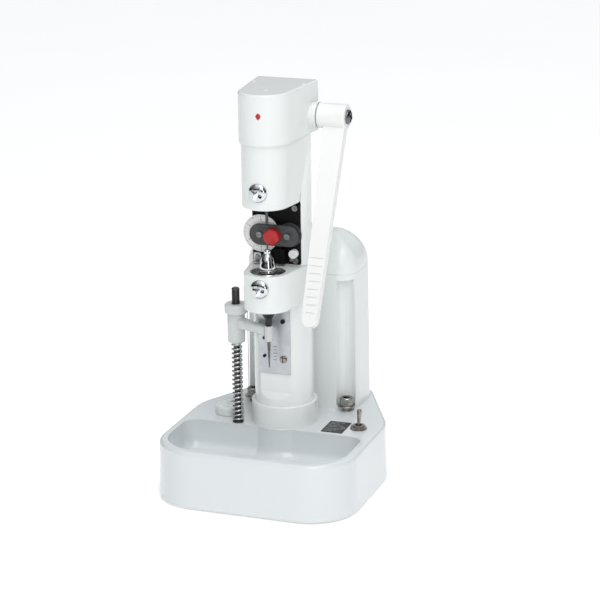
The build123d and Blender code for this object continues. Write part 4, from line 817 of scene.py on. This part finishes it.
# ---- deck, housing and cap trim -----------------------------------------------------
def deck_label():
    """Dark switch label with rows of plain bars and a ring instead of text."""
    thickness, left_edge, gap = 0.35, -9.0, 1.1
    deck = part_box("base_tray")[1].z
    centre = Vector((57 * MM, -9.5 * MM, deck))
    finish_piece("switch_label", mesh_from("switch_label", bar(
        centre, (22, 31, thickness), UP, -FRONT, 1.2)), "label_black")
    top = deck + thickness * MM
    marks = []
    # Each row's place along the label, then the widths of its bars
    rows = ((11.6, (3, 5, 4)), (8.2, (6, 3)), (3.4, (4, 4, 5)), (0, (5, 3)),
            (-5.0, (3, 3, 6)), (-8.4, (7, 4)), (-12.0, (4, 3)))
    for along, widths in rows:
        across = left_edge
        for width in widths:
            spot = (centre.x + (across + width / 2) * MM, centre.y + along * MM, top)
            marks.append(bar(spot, (width, 0.8, 0.05), UP, -FRONT, 0.3))
            across += width + gap
    ring_base = Vector((centre.x + 7.6 * MM, centre.y - 1.2 * MM, top))
    ring = turned(ring_base, UP, [(1.5, 0), (2.2, 0), (2.2, 0.05), (1.5, 0.05)], sides=40)
    made = joined("label_marks", [mesh_from("bars", *marks),
                                  mesh_from("ring", ring, closed=True)])
    finish_piece("label_marks", made, "ink_pale")


def knob_pointer():
    """Dark inlay in the speed knob's slot."""
    centre = middle("speed_knob")
    spot = (centre.x, centre.y + 8.5 * MM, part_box("speed_knob")[1].z - 0.55 * MM)
    finish_piece("knob_mark", mesh_from("knob_mark", bar(
        spot, (1.2, 6.8, 0.5), UP, -FRONT, 0.3)), "ink_black", body="speed")


def toggle_trim():
    """Serrated washer under the toggle's nut."""
    teeth, tooth_depth, thickness = 30, 0.03, 0.5

    def serrated(angle, height):
        wave = 0.5 - 0.5 * math.cos(teeth * angle)
        return 1 - tooth_depth * wave * (height < thickness)

    rings = turned(standing("switch_nut")[0], UP, [
        (6.3, -0.05), (8.3, -0.05), (8.4, 0.1), (8.4, 0.35), (8.1, thickness),
        (6.3, thickness)], sides=180, shape=serrated)
    finish_piece("toggle_washer", mesh_from("toggle_washer", rings, closed=True),
                 "worn_nickel")


def inlet_blades():
    """Bright pins inside the power inlet."""
    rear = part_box("power_inlet")[1].y
    middle_z = middle("power_inlet").z
    pins = []
    for x in (-7, 0, 7):
        for depth, length in ((7, 0.2), (17, 10.1)):
            pins.append(bar((x * MM, rear - depth * MM, middle_z), (2.2, 4.2, length), -FRONT,
                            UP, 0.5))
    finish_piece("inlet_blades", mesh_from("inlet_blades", *pins), "brass")


def cap_badge():
    """Small plain lozenge on the cap's curved front."""
    badge_z, shift, half_width, half_height = 380, 2.7, 2.5, 3.2
    corners, power = 32, 1.4
    drill = middle("spindle_shaft")
    radius = (drill.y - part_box("head_cap")[0].y) / MM
    rings = []
    for out, shrink in ((-0.15, 1.0), (0.18, 1.0), (0.28, 0.86)):
        ring = []
        for corner in range(corners):
            angle = TURN * corner / corners
            across = half_width * shrink * squared(math.cos(angle), power)
            upward = half_height * shrink * squared(math.sin(angle), power)
            bend = (across + shift) / radius
            point = drill + Vector((math.sin(bend), -math.cos(bend), 0)) * (radius + out) * MM
            point.z = badge_z * MM + upward * MM
            ring.append(point)
        rings.append(ring)
    finish_piece("cap_badge", mesh_from("cap_badge", rings), "ink_red")


def channel_ribs():
    """Fine upright ribs down the housing's two screw channels."""
    channel_x, channel_radius, rib_radius = 50, 10.1, 0.45
    middle_y = middle("housing_screws").y
    foot_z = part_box("housing_screws")[1].z - 2 * MM
    tall = (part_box("housing_lid")[0].z - foot_z) / MM - 6.3
    ribs = []
    for side in (-1, 1):
        for degrees in (40, 62, 84, 106, 154, 172, 188):
            angle = math.radians(degrees)
            foot = Vector((side * (channel_x + channel_radius * math.cos(angle)) * MM,
                           middle_y + channel_radius * MM * math.sin(angle), foot_z))
            ribs.append(turned(foot, UP, [(0.1, 0), (rib_radius, 0.3),
                                          (rib_radius, tall - 0.3), (0.1, tall)], sides=10))
    finish_piece("channel_ribs", mesh_from("channel_ribs", *ribs), "housing_white")


def duct_seal():
    """Sleeve that carries the belt duct on through the mouth in the lid."""
    wall, inset, length = 2, 0.05, 6
    low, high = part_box("belt_duct")
    mouth = Vector(((low.x + high.x) / 2, high.y - inset * MM, (low.z + high.z) / 2))
    width, height = (high.x - low.x) / MM, (high.z - low.z) / MM
    sleeve = bar(mouth, (width - 2 * inset, height - 2 * inset, length), -FRONT, UP, 3)
    bore = bar(mouth + FRONT * MM, (width - 2 * wall, height - 2 * wall, length + 2), -FRONT,
               UP, 1.5)
    finish_piece("duct_seal", cut(mesh_from("sleeve", sleeve), mesh_from("bore", bore)),
                 "moulding")


def cap_plugs():
    """Three flat plugs over the cap's fixing screws."""
    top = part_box("head_cap")[1].z
    plugs = []
    for x, y in ((1.0, -41.0), (25.3, -4.3), (-25.2, -4.5)):
        plugs.append(mesh_from("plug", turned((x * MM, y * MM, top), UP, [
            (1.9, -0.3), (1.9, 0.25), (1.6, 0.5), (0.1, 0.55)], sides=32)))
    finish_piece("cap_plugs", joined("cap_plugs", plugs), "knob_white")


channel_ribs()
cap_plugs()
duct_seal()
deck_label()
knob_pointer()
toggle_trim()
inlet_blades()
cap_badge()


# ---- stage, light and camera --------------------------------------------------------
def stage():
    """Plain pale floor under a soft, bright studio sky, dimmer low down and at the sides."""
    by_height = [(0, 0.05), (0.13, 0.08), (0.24, 0.60), (0.6, 0.95), (1, 1.2)]
    by_side = [(0, 1), (0.35, 0.9), (0.62, 0.28), (1, 0.12)]
    mesh = bpy.data.meshes.new("floor")
    half = 14.0
    mesh.from_pydata([(-half, -half, 0), (half, -half, 0), (half, half, 0), (-half, half, 0)],
                     [], [(0, 1, 2, 3)])
    floor = bpy.data.objects.new("floor", mesh)
    bpy.context.scene.collection.objects.link(floor)
    paint = surface("floor_paint", (0.90, 0.90, 0.90), (0.92, 0.92, 0.92), patch=2,
                    rough=(0.75, 0.9), grain=60, bump=0.02)
    glow = paint.node_tree.nodes["Principled BSDF"].inputs
    glow["Emission Color"].default_value = (1, 1, 1, 1)
    glow["Emission Strength"].default_value = 0.34
    mesh.materials.append(paint)
    world = bpy.data.worlds.new("studio")
    bpy.context.scene.world = world
    world.use_nodes = True
    nodes, links = world.node_tree.nodes, world.node_tree.links
    split = nodes.new("ShaderNodeSeparateXYZ")
    links.new(nodes.new("ShaderNodeTexCoord").outputs["Generated"], split.inputs["Vector"])

    side = nodes.new("ShaderNodeMath")
    side.operation = "ABSOLUTE"
    links.new(split.outputs["X"], side.inputs[0])

    def gradient(source, stops):
        tone = nodes.new("ShaderNodeValToRGB")
        while len(tone.color_ramp.elements) < len(stops):
            tone.color_ramp.elements.new(0.5)
        for element, (place, level) in zip(tone.color_ramp.elements, stops):
            element.position = place
            element.color = (level * 0.985, level, level * 1.01, 1)
        links.new(source, tone.inputs["Fac"])
        return tone.outputs["Color"]

    sky = nodes.new("ShaderNodeMix")
    sky.data_type = "RGBA"
    sky.blend_type = "MULTIPLY"
    sky.inputs["Factor"].default_value = 1
    links.new(gradient(split.outputs["Z"], by_height), sky.inputs["A"])
    links.new(gradient(side.outputs["Value"], by_side), sky.inputs["B"])
    links.new(sky.outputs["Result"], nodes["Background"].inputs["Color"])
    nodes["Background"].inputs["Strength"].default_value = 1.0


def soft_light(name, place, aim, size, power, tint=(1, 1, 1)):
    """A square softbox at place that faces aim; size in metres, power in watts."""
    data = bpy.data.lights.new(name, "AREA")
    data.shape = "SQUARE"
    data.size = size
    data.energy = power
    data.color = tint
    lamp = bpy.data.objects.new(name, data)
    lamp.location = place
    lamp.rotation_mode = "QUATERNION"
    lamp.rotation_quaternion = (Vector(aim) - Vector(place)).to_track_quat("-Z", "Y")
    bpy.context.scene.collection.objects.link(lamp)


def camera():
    """The viewing angle: above the operator's side, a little to the lever's side."""
    data = bpy.data.cameras.new("camera")
    data.sensor_width = 36
    data.lens = 134.4
    data.clip_start, data.clip_end = 0.05, 60
    eye = Vector((0.7453, -1.9674, 0.8255))
    aim = Vector((0.0302, -0.0353, 0.1953))
    roll = math.radians(-0.757)
    lens = bpy.data.objects.new("camera", data)
    lens.location = eye
    lens.rotation_mode = "QUATERNION"
    lens.rotation_quaternion = ((aim - eye).to_track_quat("-Z", "Y")
                                @ Matrix.Rotation(roll, 4, "Z").to_quaternion())
    bpy.context.scene.collection.objects.link(lens)
    bpy.context.scene.camera = lens


stage()
body_middle = (cad_low + cad_high) / 2
soft_light("key", (0.75, -1.9, 1.35), body_middle, 0.9, 8)
soft_light("fill", (1.2, -1.8, 0.5), body_middle, 0.5, 2.2, (0.97, 0.985, 1.0))
soft_light("top", (0.6, -0.6, 1.8), body_middle, 1.0, 11)
camera()
bpy.context.scene.view_settings.view_transform = "Standard"
bpy.context.scene.view_settings.look = "None"
